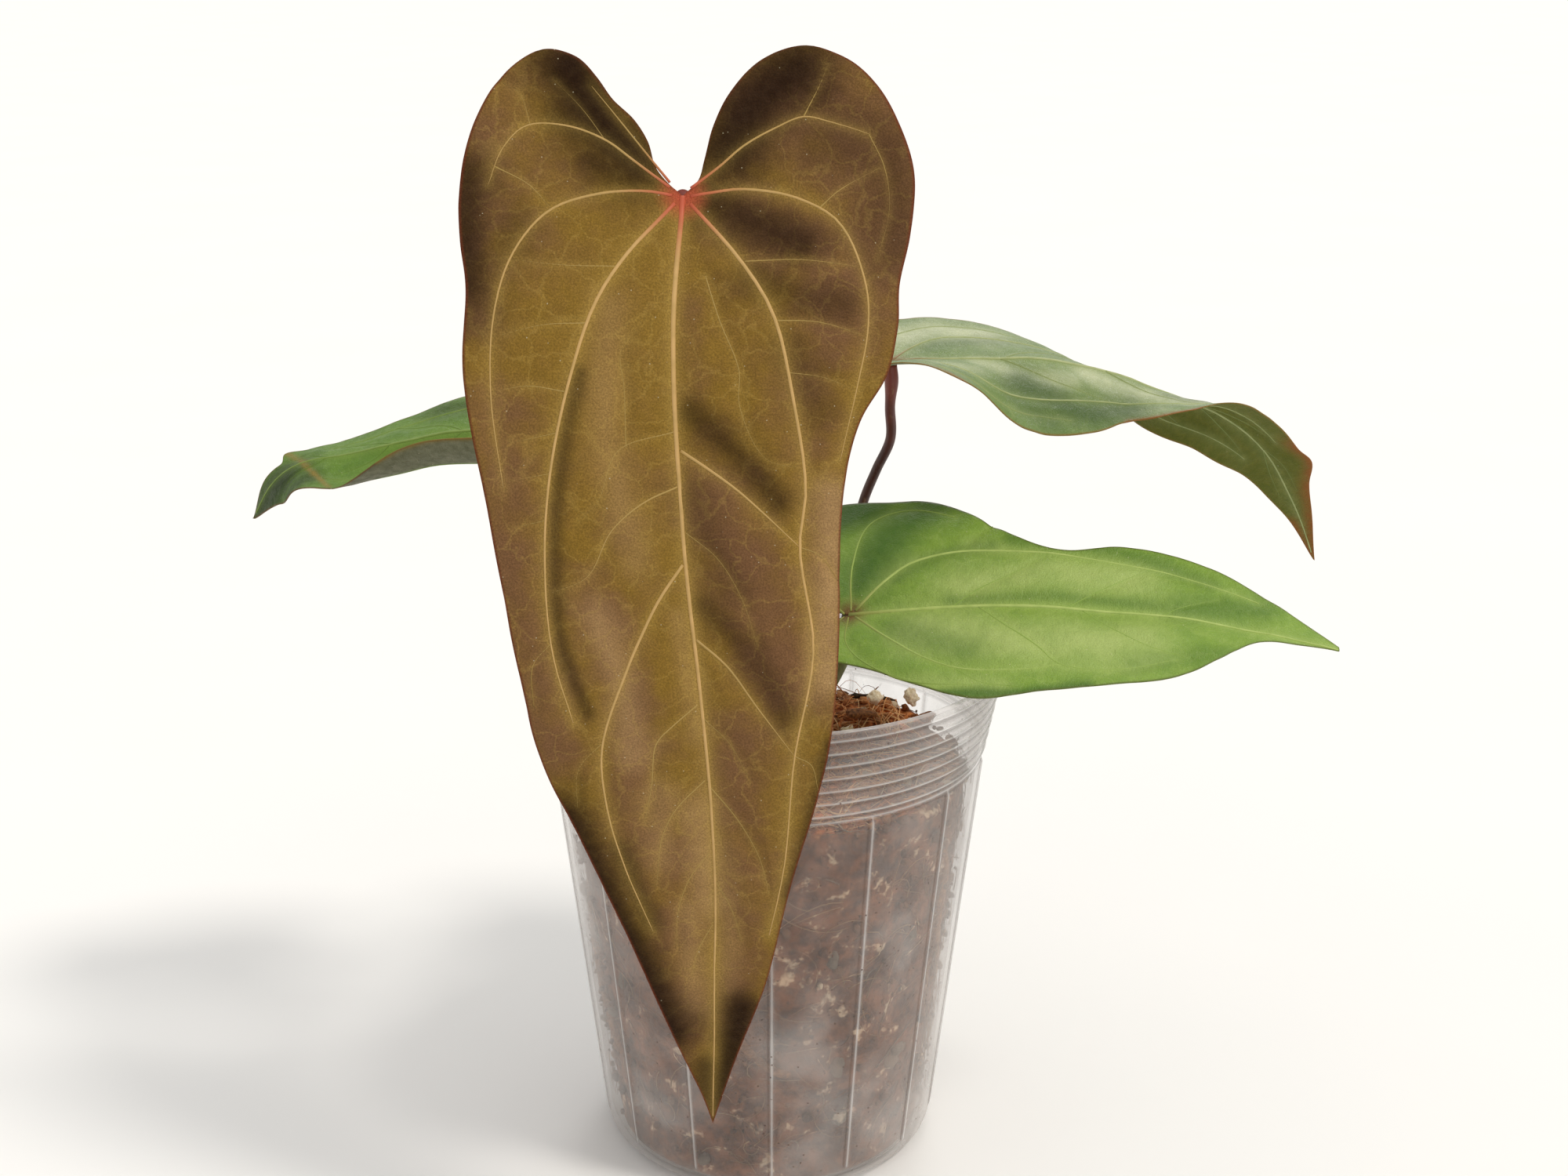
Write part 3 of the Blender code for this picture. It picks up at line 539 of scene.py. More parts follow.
def tubes(paths, wide, high=None, facing=None, sides=8):
    """Closed tubes along paths (tube, point, 3), with half widths (tube, point).

    A ring's points are path + wide cos(a) side + high sin(a) up, and the end rings close on a middle point.
    "facing" gives each point's up direction. Without it, up is turned along with the path.
    """
    paths = np.asarray(paths, float)
    count, length = paths.shape[:2]
    along = unit(np.gradient(paths, axis=1))
    if facing is None:
        start = np.where(np.abs(along[:, :1, 2:]) < 0.8, [[[0.0, 0, 1]]], [[[1.0, 0, 0]]])
        ups = [unit(start - (start * along[:, :1]).sum(-1, keepdims=True) * along[:, :1])[:, 0]]
        for i in range(1, length):
            turned = ups[-1] - (ups[-1] * along[:, i]).sum(-1, keepdims=True) * along[:, i]
            ups.append(unit(turned))
        up = np.stack(ups, axis=1)
    else:
        up = unit(facing - (facing * along).sum(-1, keepdims=True) * along)
    side = np.cross(along, up)
    high = wide if high is None else high
    angle = np.linspace(0, 2 * np.pi, sides, endpoint=False)[:, None]
    ring = (
        paths[:, :, None]
        + wide[:, :, None, None] * np.cos(angle) * side[:, :, None]
        + high[:, :, None, None] * np.sin(angle) * up[:, :, None]
    )
    points = np.concatenate([ring.reshape(count, -1, 3), paths[:, :1], paths[:, -1:]], axis=1)
    quads = grid_faces(length, sides, wrap=True)[:, ::-1]
    caps = end_caps(length, sides)
    shift = (np.arange(count) * (length * sides + 2))[:, None, None]
    return points.reshape(-1, 3), (quads + shift).reshape(-1, 4), (caps + shift).reshape(-1, 3)


# ---------------------------------------------------------------- leaves


class Blade:
    """Carries flat leaf coordinates onto the midrib curve in space."""

    def __init__(self, leaf):
        """Reads a leaf's design values. y is 0 at the joint, which is the spine's second point."""
        self.midrib = smooth_curve(leaf["spine"])
        length = run_lengths(self.midrib)
        self.y = length - length[CURVE_STEPS]
        along = unit(np.gradient(self.midrib, self.y, axis=0))
        facing = smooth_curve(np.asarray(leaf["facing"]) * 50)
        self.facing = unit(facing - (facing * along).sum(1, keepdims=True) * along)
        self.across = np.cross(self.facing, along)
        self.section = smooth_curve(leaf["section"])
        self.halves = {side: smooth_curve(leaf[side]) for side in ("left", "right")}
        self.lobes = {side: CURVE_STEPS * leaf[side + "_lobe"] for side in ("left", "right")}
        self.length = leaf["left"][-1][1]

    def place(self, flat):
        """Points in space, in millimetres, for flat points (x, y)."""
        x, y = flat[..., 0], flat[..., 1]
        middle, facing, across = (
            read_curve(curve, self.y, y) for curve in (self.midrib, self.facing, self.across)
        )
        row = read_curve(self.section[:, 1:], self.section[:, 0], y)
        share = 0.5 + 0.5 * np.tanh(x / 0.8)
        fold = np.radians(row[..., 0] * (1 - share) + row[..., 2] * share)
        bend = np.radians(np.where(x < 0, row[..., 1], row[..., 3])) / 10
        bend = np.where(np.abs(bend) < 1e-6, 1e-6, bend)
        end = fold + bend * np.abs(x)
        out = np.sign(x) * (np.sin(end) - np.sin(fold)) / bend
        rise = (np.cos(fold) - np.cos(end)) / bend
        return middle + out[..., None] * across + rise[..., None] * facing

    def normal(self, flat):
        """The upper side's direction, from the sheet's slopes across and along."""
        step = np.array([0.05, 0.0])
        across = self.place(flat + step) - self.place(flat - step)
        along = self.place(flat + step[::-1]) - self.place(flat - step[::-1])
        return unit(np.cross(along, across))

    def sheet(self, across, along):
        """Flat grid of the whole blade: rows from the notch to the tip, columns from left margin to right."""
        halves = []
        for side in ("left", "right"):
            whole, lobe = self.halves[side], self.lobes[side]
            u = np.linspace(0, 1, across + 1)
            v = np.linspace(0, 1, along + 1) ** 0.9
            top = by_fraction(whole[: lobe + 1], u)[None]
            edge = by_fraction(whole[lobe:], v)[:, None]
            midrib = v[:, None, None] * whole[-1]
            uu, vv = u[None, :, None], v[:, None, None]
            halves.append((1 - vv) * top + (1 - uu) * midrib + uu * edge - uu * (1 - vv) * whole[lobe])
        return np.concatenate([halves[0][:, ::-1], halves[1][:, 1:]], axis=1)


def nearest(points, polylines, weights):
    """For flat points, the distance to the nearest vein and the strongest glow of any vein.

    A vein's glow is strength exp(-(d / reach)^1.1), and its reach and strength grow with its thickness.
    """
    distance = np.full(len(points), 1e9)
    glow = np.zeros(len(points))
    for line, weight in zip(polylines, weights):
        low, high = line.min(0) - 9, line.max(0) + 9
        near = np.flatnonzero(((points > low) & (points < high)).all(1))
        best = np.full(len(near), 1e9)
        for a, b in zip(line[:-1], line[1:]):
            run = b - a
            t = np.clip(((points[near] - a) @ run) / (run @ run), 0, 1)
            best = np.minimum(best, np.linalg.norm(points[near] - a - t[:, None] * run, axis=1))
        distance[near] = np.minimum(distance[near], best / (0.4 + 0.6 * weight))
        reach = 0.35 + 1.1 * weight
        glow[near] = np.maximum(glow[near], (0.2 + 0.8 * weight) * np.exp(-((best / reach) ** 1.1)))
    return distance, glow


def shared_veins(blade):
    """The shared pattern on this blade, with x taken as a share of the half width at each y."""
    found = [(1.0, [(0, 0), (0.2, blade.length * 0.5), (0, blade.length * 0.98)])]
    for side in ("left", "right"):
        margin = blade.halves[side][blade.lobes[side] :]
        for weight, points in SHARED_VEINS:
            x, y = np.array(points).T
            y = y * blade.length
            found.append((weight, np.stack([x * np.interp(y, margin[:, 1], margin[:, 0]), y], 1)))
    return found


def shade_lines(flat, lines, seed):
    """For flat points, the strongest of these soft lines: strength exp(-(d / width)^2), with uneven d."""
    spot = np.concatenate([flat, np.zeros_like(flat[:, :1])], axis=1)
    uneven = 1 + 0.22 * rough(spot, 6, seed) + 0.1 * rough(spot, 1.8, seed + 1)
    total = np.zeros(len(flat))
    for points, width, strength in lines:
        line = smooth_curve(points, 6)
        best = np.full(len(flat), 1e9)
        for a, b in zip(line[:-1], line[1:]):
            run = b - a
            t = np.clip(((flat - a) @ run) / (run @ run + 1e-9), 0, 1)
            best = np.minimum(best, np.linalg.norm(flat - a - t[:, None] * run, axis=1))
        total = np.maximum(total, strength * np.exp(-((best * uneven / width) ** 2)))
    return total


def build_blade(name, leaf, finish, vein_finish, across, along, quilting, seed, dark, tinted, pale, dry=()):
    """A closed thin sheet that puffs up between its veins, with raised veins let into it.

    The sheet's height over its smooth form is quilting (1 - exp(-(d / 3.2)^2)), with d the distance to the
    nearest vein, plus slow and quick unevenness.
    """
    blade = Blade(leaf)
    veins = VEINS.get(name) or shared_veins(blade)
    weights = [weight for weight, _ in veins]
    lines = [smooth_curve(points, 7) for _, points in veins]
    flat = blade.sheet(across, along)
    rows, columns = flat.shape[:2]
    distance, glow = (part.reshape(rows, columns) for part in nearest(flat.reshape(-1, 2), lines, weights))

    def height(at, off):
        """The sheet's height over its smooth form at these flat points, this far from a vein."""
        spot = np.concatenate([at, np.zeros_like(at[..., :1])], axis=-1)
        puff = quilting * (1 - np.exp(-((off / 3.2) ** 2)))
        slow = 0.35 * rough(spot, 14, seed) + 0.16 * rough(spot, 6, seed + 1)
        quick = 0.05 * rough(spot, 2.4, seed + 3) * puff / max(quilting, 0.01)
        return puff * (1 + 0.5 * rough(spot, 9, seed + 2)) + slow + quick

    from_margin = np.minimum(
        np.linalg.norm(flat - flat[:, :1], axis=-1), np.linalg.norm(flat - flat[:, -1:], axis=-1)
    )
    from_notch = np.linalg.norm(flat - flat[:1], axis=-1)
    edge = np.minimum(from_margin, np.where(np.abs(flat[..., 1]) < 30, from_notch + 0.2, 99))
    normal = blade.normal(flat)
    middle = blade.place(flat) + height(flat, distance)[..., None] * normal
    thick = BLADE_MARGIN + (BLADE_MIDDLE - BLADE_MARGIN) * np.clip(edge / 4, 0, 1)
    upper = middle + thick[..., None] / 2 * normal
    lower = middle - thick[..., None] / 2 * normal

    # Both sides are numbered row by row, and each tip is one point
    body = (rows - 1) * columns
    index = np.arange(rows * columns).reshape(rows, columns)
    index[-1] = body
    under = index + body + 1
    above = grid_faces(rows - 1, columns)
    quads = [above, above[:, ::-1] + body + 1]
    tips = np.stack([index[-2, :-1], index[-1, :-1], index[-2, 1:]], -1)
    triangles = [tips, tips[:, ::-1] + body + 1]
    for line, other in (
        (index[:, 0], under[:, 0]), (index[::-1, -1], under[::-1, -1]), (index[0, ::-1], under[0, ::-1]),
    ):
        quads.append(np.stack([line[:-1], other[:-1], other[1:], line[1:]], -1))
    points = np.concatenate([
        upper[:-1].reshape(-1, 3), upper[-1, :1], lower[:-1].reshape(-1, 3), lower[-1, :1],
    ])

    # "flat" holds x, y and 1 on the underside. "zone" holds the veins' glow, the painted shade and the
    # margin's nearness. "tone" holds the tinted share (partly painted shade), the dried share and the painted
    # sheen.
    def both(values):
        """A grid's values for the points of both sides."""
        one = np.concatenate([values[:-1].ravel(), values[-1, :1]])
        return np.concatenate([one, one])

    # Painted shade, the tint (partly painted shade), the painted sheen as "light", and the dried share
    painted_shade, tint, light, dried = (
        shade_lines(flat.reshape(-1, 2), group, seed + 5).reshape(rows, columns)
        for group in (dark, tinted, pale, dry)
    )
    side = np.repeat([0.0, 1.0], body + 1)
    flat_values = np.stack([both(flat[..., 0]), both(flat[..., 1]), side], 1)
    zone_values = np.stack([both(glow), both(painted_shade), both(np.exp(-edge / 0.4))], 1)
    tone_values = np.stack([both(tint), both(dried), both(light)], 1)

    # Veins: flattened tubes let into both sides, tapering to their ends
    along_vein = np.linspace(0, 1, VEIN_POINTS)
    paths, wides, ups, flats = [], [], [], []
    for weight, line in zip(weights, lines):
        spots = by_fraction(line, along_vein)
        normals = blade.normal(spots)
        paths.append(blade.place(spots) + height(spots, np.zeros(VEIN_POINTS))[:, None] * normals)
        taper = 1 - 0.72 * along_vein**1.3
        wides.append(MIDRIB_WIDTH / 2 * weight * taper)
        ups.append(normals)
        flats.append(spots)
    wides = np.array(wides)
    vein_points, vein_quads, vein_caps = tubes(paths, wides, 0.24 + 0.55 * wides, np.array(ups), VEIN_SIDES)
    flats = np.array(flats)
    ring = np.repeat(flats, VEIN_SIDES, axis=1)
    vein_flat = np.concatenate([ring, flats[:, :1], flats[:, -1:]], axis=1).reshape(-1, 2)
    vein_flat = np.concatenate([vein_flat, np.zeros((len(vein_flat), 1))], axis=1)
    strength = np.repeat(weights, VEIN_POINTS * VEIN_SIDES + 2)
    vein_zone = np.stack([strength, 0 * strength, 0 * strength], 1)

    start = len(points)
    blocks = [*quads, *triangles, vein_quads + start, vein_caps + start]
    finish_of = np.repeat([0] * (len(quads) + len(triangles)) + [1, 1], [len(block) for block in blocks])
    piece = make_object(
        name + "_blade_fine", np.concatenate([points, vein_points]) * MM, blocks, [finish, vein_finish],
        finish_of,
        {
            "flat": np.concatenate([flat_values, vein_flat]),
            "zone": np.concatenate([zone_values, vein_zone]),
            "tone": np.concatenate([tone_values, 0 * vein_zone]),
        },
    )
    stand_for(piece, "bronze_leaf" if name == "bronze_leaf" else "green_leaf", name + "_blade")
    return blade


def build_stalk(name, leaf, blade, finish, slot):
    """A stalk: its radius times 1 + flare exp(-d / 9) + knuckle exp(-((t - 4) / 3.5)^2), t from the blade."""
    joint, facing = blade.midrib[CURVE_STEPS], blade.facing[CURVE_STEPS]
    route = [*leaf["stalk"], joint - 5 * facing, joint - 0.3 * facing]
    path = by_fraction(smooth_curve(route), np.linspace(0, 1, 120))
    distance = run_lengths(path)
    from_top = distance[-1] - distance
    flare = 0.6 * np.exp(-distance / 9)
    knuckle = 0.35 * np.exp(-(((from_top - 4) / 3.5) ** 2))
    radius = leaf["stalk_radius"] * (1 + flare + knuckle) * (1 + 0.03 * rough(path, 5, 3))
    points, quads, caps = tubes([path], radius[None], sides=24)
    along = np.repeat(from_top, 24)
    run = {"run": np.concatenate([along, from_top[:1], from_top[-1:]])}
    piece = make_object(name + "_stalk_fine", points * MM, [quads, caps], [finish], attributes=run)
    stand_for(piece, slot, name + "_stalk")


# ---------------------------------------------------------------- pot, mix and what lies in it


def wall_radius(height):
    """The pot's outer radius at this height."""
    return np.interp(height, [FOOT_ROUND, WAIST_HEIGHT, POT_HEIGHT], [FOOT_RADIUS, WAIST_RADIUS, RIM_RADIUS])


def turned_points(radii, angles, heights):
    """Points on circles: angle 0 is at -Y and grows towards +X."""
    return np.stack(np.broadcast_arrays(radii * np.sin(angles), -radii * np.cos(angles), heights), axis=-1)


def turned_solid(radii, angles, heights):
    """A closed solid from rings of points, going up outside, with each end ring closed on a point."""
    points = turned_points(radii, angles, heights)
    rows, columns = points.shape[:2]
    ends = points[[0, -1]].mean(axis=1)
    quads = grid_faces(rows, columns, wrap=True)[:, ::-1]
    return np.concatenate([points.reshape(-1, 3), ends]), [quads, end_caps(rows, columns)]


def build_pot(finish):
    """The pot, turned, with drain holes cut through its floor.

    Its lower wall has ribs exp(-(d / 0.55 mm)^2), and its top has rings exp(-(d / 0.25 mm)^2).
    """
    step = 2 * np.pi / RIBS
    near = np.array([-2.2, -1.2, -0.8, -0.5, -0.25, 0, 0.25, 0.5, 0.8, 1.2, 2.2]) * MM / WAIST_RADIUS
    between = np.linspace(near[-1], step + near[0], 15)[1:-1]
    angles = (np.arange(RIBS)[:, None] * step + np.concatenate([near, between])).ravel()
    from_rib = (np.mod(angles / step + 0.5, 1) - 0.5) * step * WAIST_RADIUS
    rib = RIB_RISE * np.exp(-((from_rib / RIB_HALF_WIDTH) ** 2))

    ring_heights = np.linspace(WAIST_HEIGHT + 0.0016, POT_HEIGHT - 0.0022, RINGS)
    offsets = np.array([-0.9, -0.5, -0.3, -0.15, 0, 0.15, 0.3, 0.5, 0.9]) * MM
    ends = [WAIST_HEIGHT + 0.0003, POT_HEIGHT - 0.0009]
    upper = np.sort(np.concatenate([(ring_heights[:, None] + offsets).ravel(), ends]))
    ring = RING_RISE * np.exp(-(((upper[:, None] - ring_heights) / (0.25 * MM)) ** 2)).sum(1)
    tilt = np.radians(np.linspace(0, 80, 6))
    foot_heights = FOOT_ROUND * (1 - np.cos(tilt))
    foot_radii = FOOT_RADIUS - FOOT_ROUND * (1 - np.sin(tilt))
    lower = np.concatenate([
        [FOOT_ROUND, FOOT_ROUND + 0.0008, FOOT_ROUND + 0.0016], np.linspace(0.008, WAIST_HEIGHT - 0.003, 30),
        [WAIST_HEIGHT - 0.0016, WAIST_HEIGHT - 0.0008, WAIST_HEIGHT],
    ])
    fade_heights = [FOOT_ROUND, FOOT_ROUND + 0.002, WAIST_HEIGHT - 0.0016, WAIST_HEIGHT - 0.0006]
    fade = np.interp(lower, fade_heights, [0, 1, 1, 0])
    lip = np.radians(np.linspace(0, 180, 9))
    lip_middle = RIM_RADIUS - WALL / 2
    lip_heights = POT_HEIGHT - 0.00055 + 0.00055 * np.sin(lip)
    lip_radii = lip_middle + (WALL / 2 + 0.0002) * np.cos(lip)
    inner = np.concatenate([
        np.linspace(POT_HEIGHT - 0.001, WAIST_HEIGHT, 14),
        np.linspace(WAIST_HEIGHT - 0.002, FOOT_ROUND + 0.001, 26),
    ])
    inner_foot = FOOT_RADIUS - WALL
    floor_radii = np.array([inner_foot - 0.0012, inner_foot - 0.0035, 0.0315, 0.0305, 0.030, 0.020, 0.010])
    floor_heights = np.array([FLOOR + 0.001] + 6 * [FLOOR])

    heights = np.concatenate([[0, 0], foot_heights, lower, upper, lip_heights, inner, floor_heights])[:, None]
    radii = np.concatenate([
        [[0.012], [0.031]] + 0 * angles,
        foot_radii[:, None] + 0 * angles,
        wall_radius(lower)[:, None] + fade[:, None] * rib,
        (wall_radius(upper) + ring)[:, None] + 0 * angles,
        lip_radii[:, None] + 0 * angles,
        (wall_radius(inner) - WALL)[:, None] + 0 * angles,
        floor_radii[:, None] + 0 * angles,
    ])
    points, faces = turned_solid(radii, angles, heights)
    pot = make_object("clear_pot", points, faces, [finish])

    turn = 2 * np.pi * (np.arange(DRAIN_HOLES) + 0.5) / DRAIN_HOLES
    foot = turned_points(DRAIN_CIRCLE, turn, -0.002)
    paths = np.stack([foot, foot + (0, 0, 0.002), foot + (0, 0, 0.006)], axis=1)
    cut_points, quads, caps = tubes(paths, np.full((DRAIN_HOLES, 3), DRAIN_RADIUS), sides=32)
    cutter = make_object("drain_cutters", cut_points, [quads, caps], [finish])
    holes = pot.modifiers.new("Drain holes", "BOOLEAN")
    holes.operation = "DIFFERENCE"
    holes.object = cutter
    bpy.context.view_layer.update()
    drilled = bpy.data.meshes.new_from_object(pot.evaluated_get(bpy.context.evaluated_depsgraph_get()))
    pot.modifiers.clear()
    pot.data = drilled
    bpy.data.objects.remove(cutter)

    # "zone" holds a painted highlight on each ridge's crest, painted shade on one side of it, and the share
    # of thicker wall: 1 outside at the top
    place = np.empty(len(drilled.vertices) * 3, np.float32)
    drilled.vertices.foreach_get("co", place)
    x, y, height = place.reshape(-1, 3).T
    outside = np.hypot(x, y) > wall_radius(height) - WALL / 2
    from_rib = (np.mod(np.arctan2(x, -y) / step + 0.5, 1) - 0.5) * step * WAIST_RADIUS
    on_rib = ((height > FOOT_ROUND + 0.0012) & (height < WAIST_HEIGHT - 0.0006)) * outside
    from_ring = height[:, None] - np.append(ring_heights, WAIST_HEIGHT)
    painted_highlight = np.maximum(
        on_rib * np.exp(-((from_rib / (0.35 * MM)) ** 2)),
        outside * np.exp(-((from_ring / (0.22 * MM)) ** 2)).max(1),
    )
    painted_ridge_shade = np.maximum(
        on_rib * np.exp(-(((from_rib + 0.8 * MM) / (0.4 * MM)) ** 2)),
        outside * np.exp(-(((from_ring + 0.75 * MM) / (0.5 * MM)) ** 2)).max(1),
    )
    # A painted highlight along the top of the lip
    painted_highlight = np.maximum(painted_highlight, 0.5 * (height > POT_HEIGHT - 0.0005))
    layer = drilled.attributes.new("zone", "FLOAT_VECTOR", "POINT")
    thicker = np.where(outside, height > WAIST_HEIGHT, INSIDE_SHARE)
    layer.data.foreach_set("vector", np.stack([painted_highlight, painted_ridge_shade, thicker], 1).astype(np.float32).ravel())
    stand_for(pot, "clear_plastic", "pot")


def mounds(angle):
    """The height of the mix's mounds at this angle: three sines of 3, 5 and 9 waves."""
    return MIX_MOUND * (np.sin(3 * angle + 0.6) + 0.6 * np.sin(5 * angle + 2) + 0.4 * np.sin(9 * angle))


def mix_height(x, y):
    """The height of the mix's smooth top here: level at the wall, with a well round the crown."""
    radius = np.hypot(x, y)
    share = np.interp(radius, [0.012, 0.0145, 0.024, 0.036, 0.041, 0.045], [0, 0, 0.7, 1, 0.6, 0.3])
    circles = [0, 0.0115, 0.0145, 0.024, 0.036, 0.041, 0.045]
    rise = np.interp(radius, circles, [-6.4, -6.3, -0.5, 0, 0.5, 0.3, 0])
    return MIX_TOP + rise * MM + share * mounds(np.arctan2(x, -y))


def build_mix(finish):
    """The body of the mix, turned: smooth form plus noise of 9, 3.5 and 1.4 mm along the surface."""
    angles = np.linspace(0, 2 * np.pi, 300, endpoint=False)
    side = np.linspace(FLOOR + 0.003, MIX_TOP - 0.0015, 70)
    side_radii = wall_radius(side) - WALL - MIX_SIDE_GAP
    top = np.linspace(side_radii[-1] - 0.0008, 0.0006, 60)
    bottom = [0.004, 0.02, 0.0345]
    radii = np.concatenate([bottom, side_radii, top])[:, None] + 0 * angles
    smooth_top = turned_points(top[:, None], angles, 0.0)
    heights = np.concatenate([
        np.full((3, 1), FLOOR + 0.0006) + 0 * angles,
        side[:, None] + 0 * angles,
        mix_height(smooth_top[..., 0], smooth_top[..., 1]),
    ])
    points = turned_points(radii, angles, heights) / MM
    bumps = 0.55 * rough(points, 9, 11) + 0.55 * rough(points, 3.5, 12) + 0.45 * rough(points, 1.4, 13)
    on_side = np.concatenate([np.zeros(3), np.ones(70), np.zeros(60)])[:, None]
    on_top = np.concatenate([np.zeros(73), np.ones(60)])[:, None]
    radii = radii + on_side * np.minimum(bumps, 1.0) * MM * 0.9
    heights = heights + on_top * (bumps - 0.3) * MM * 1.2
    points, faces = turned_solid(radii, angles, heights)
    stand_for(make_object("coir_bed", points, faces, [finish]), "coir_mix", "potting_mix")


def build_fibres(name, finish, count, on_wall, seed):
    """Coir fibres: thin three-sided tubes that wander over the mix, or between its side and the wall."""
    draw = np.random.RandomState(seed)
    points = 7
    t = np.linspace(0, 1, points)
    length = draw.uniform(5, 22, count) * MM
    curl = draw.normal(0, 1.6, count)
    heading = draw.uniform(0, 2 * np.pi, count)
    turn = heading[:, None] + curl[:, None] * t + 0.5 * draw.normal(0, 1, (count, 1)) * t**2
    step = length[:, None] / points
    run = np.cumsum(step * np.cos(turn), axis=1)
    rise = np.cumsum(step * np.sin(turn), axis=1)
    if on_wall:
        middle = draw.uniform(0.006, MIX_TOP - 0.003, count)[:, None]
        height = np.clip(middle + rise, 0.005, MIX_TOP)
        angle = draw.uniform(0, 2 * np.pi, count)[:, None] + run / 0.043
        depth = draw.uniform(0.5, 2.0, count)[:, None] * MM + 0.4 * MM * np.sin(3 * t + curl[:, None])
        paths = turned_points(wall_radius(height) - WALL - np.maximum(depth, 0.35 * MM), angle, height)
    else:
        out = MIX_RADIUS * np.sqrt(draw.uniform(0.06, 1, count))[:, None]
        around = draw.uniform(0, 2 * np.pi, count)[:, None]
        x, y = out * np.sin(around) + run - length[:, None] / 4, -out * np.cos(around) + rise
        reach = np.minimum(1, MIX_RADIUS / np.maximum(np.hypot(x, y), 1e-6))
        x, y = x * reach, y * reach
        arch = draw.uniform(0, 1, (count, 1)) ** 3 * 4 * np.sin(np.pi * t)
        arch = arch + draw.uniform(-0.4, 1.3, (count, 1))
        paths = np.stack([x, y, mix_height(x, y) + arch * MM], axis=-1)
    wide = draw.uniform(0.08, 0.2, count)[:, None] * MM * (1 - 0.6 * t)
    made, quads, caps = tubes(paths, wide, sides=3)
    shade = np.repeat(draw.uniform(0, 1, count), points * 3 + 2)
    piece = make_object(name, made, [quads, caps], [finish], attributes={"zone": shade})
    stand_for(piece, "coir_mix")


def blobs(centres, sizes, seed, rings=4, sides=7, flat=0.75):
    """Closed uneven lumps: radius 1 + 0.4 slow noise + 0.15 quick noise on a sphere squashed in height."""
    draw = np.random.RandomState(seed)
    count = len(centres)
    polar = np.linspace(0, np.pi, rings + 2)[1:-1][:, None]
    around = np.linspace(0, 2 * np.pi, sides, endpoint=False)
    x, y = np.sin(polar) * np.cos(around), np.sin(polar) * np.sin(around)
    ball = np.stack(np.broadcast_arrays(x, y, -np.cos(polar)), -1)
    ball = np.concatenate([ball.reshape(-1, 3), [[0, 0, -1], [0, 0, 1]]])
    offset = draw.uniform(0, 500, (count, 1, 3))
    bumps = 1 + 0.4 * rough(ball * 1.3 + offset, 1.0, seed) + 0.15 * rough(ball * 3.1 + offset, 1.0, seed + 1)
    stretch = draw.uniform(0.7, 1.25, (count, 1, 3)) * (1, 1, flat)
    points = centres[:, None] + sizes[:, None, None] / 2 * ball * bumps[..., None] * stretch
    quads = grid_faces(rings, sides, wrap=True)[:, ::-1]
    shift = (np.arange(count) * (rings * sides + 2))[:, None, None]
    caps = end_caps(rings, sides)
    return points.reshape(-1, 3), (quads + shift).reshape(-1, 4), (caps + shift).reshape(-1, 3)


def build_crumbs(finish):
    """Small lumps of coir pith and perlite grit over the top of the mix and against the wall."""
    draw = np.random.RandomState(31)
    count = 1500
    radius = MIX_RADIUS * np.sqrt(draw.uniform(0.07, 1, count))
    top = turned_points(radius, draw.uniform(0, 2 * np.pi, count), 0.0)
    top[:, 2] = mix_height(top[:, 0], top[:, 1]) + draw.uniform(-0.3, 0.6, count) * MM
    sizes = draw.uniform(0.6, 1, count) ** 4 * 3.0 * MM
    points, quads, caps = blobs(top, sizes, 32, rings=3, sides=6)
    shade = np.repeat(np.where(draw.uniform(0, 1, count) < 0.06, 1.0, 0.6 * draw.uniform(0, 1, count)), 20)
    piece = make_object("coir_crumbs", points, [quads, caps], [finish], attributes={"zone": shade})
    stand_for(piece, "coir_mix")

    count = 620
    height = draw.uniform(0.006, MIX_TOP - 0.001, count)
    sizes = draw.uniform(0.4, 1, count) ** 2 * 2.2 * MM
    pale = draw.uniform(0, 1, count) < 0.09
    sizes = np.where(pale, draw.uniform(1.5, 5.5, count) * MM, sizes)
    depth = 0.5 * MM + np.minimum(0.45 * sizes, 2.2 * MM)
    side = turned_points(wall_radius(height) - WALL - depth, draw.uniform(0, 2 * np.pi, count), height)
    sizes = np.minimum(sizes, 1.7 * depth)
    points, quads, caps = blobs(side, sizes, 33, rings=4, sides=7, flat=1.0)
    shade = np.repeat(np.where(pale, 1.0, 0.6 * draw.uniform(0, 1, count)), 30)
    piece = make_object("wall_crumbs", points, [quads, caps], [finish], attributes={"zone": shade})
    stand_for(piece, "coir_mix")


def box_middle(node):
    """The middle of a CAD node's box."""
    low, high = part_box(node)
    return (np.array(low) + np.array(high)) / 2


def build_lumps(finish):
    """Each perlite lump: a popped ball, pitted by 0.07 noise of 0.7 mm and 0.05 noise of 0.35 mm."""
    for i, size in enumerate(PERLITE):
        node = f"perlite_{i + 1}"
        points, quads, caps = blobs(np.zeros((1, 3)), np.array([size * MM]), 40 + i, 22, 32, 0.8)
        pits = rough(points / MM + 9 * i, 0.7, 50 + i)
        points = points * (1 + 0.07 * pits + 0.05 * rough(points / MM, 0.35, 60 + i))[:, None]
        piece = make_object(node + "_lump", points + box_middle(node), [quads, caps], [finish])
        stand_for(piece, "perlite", node)


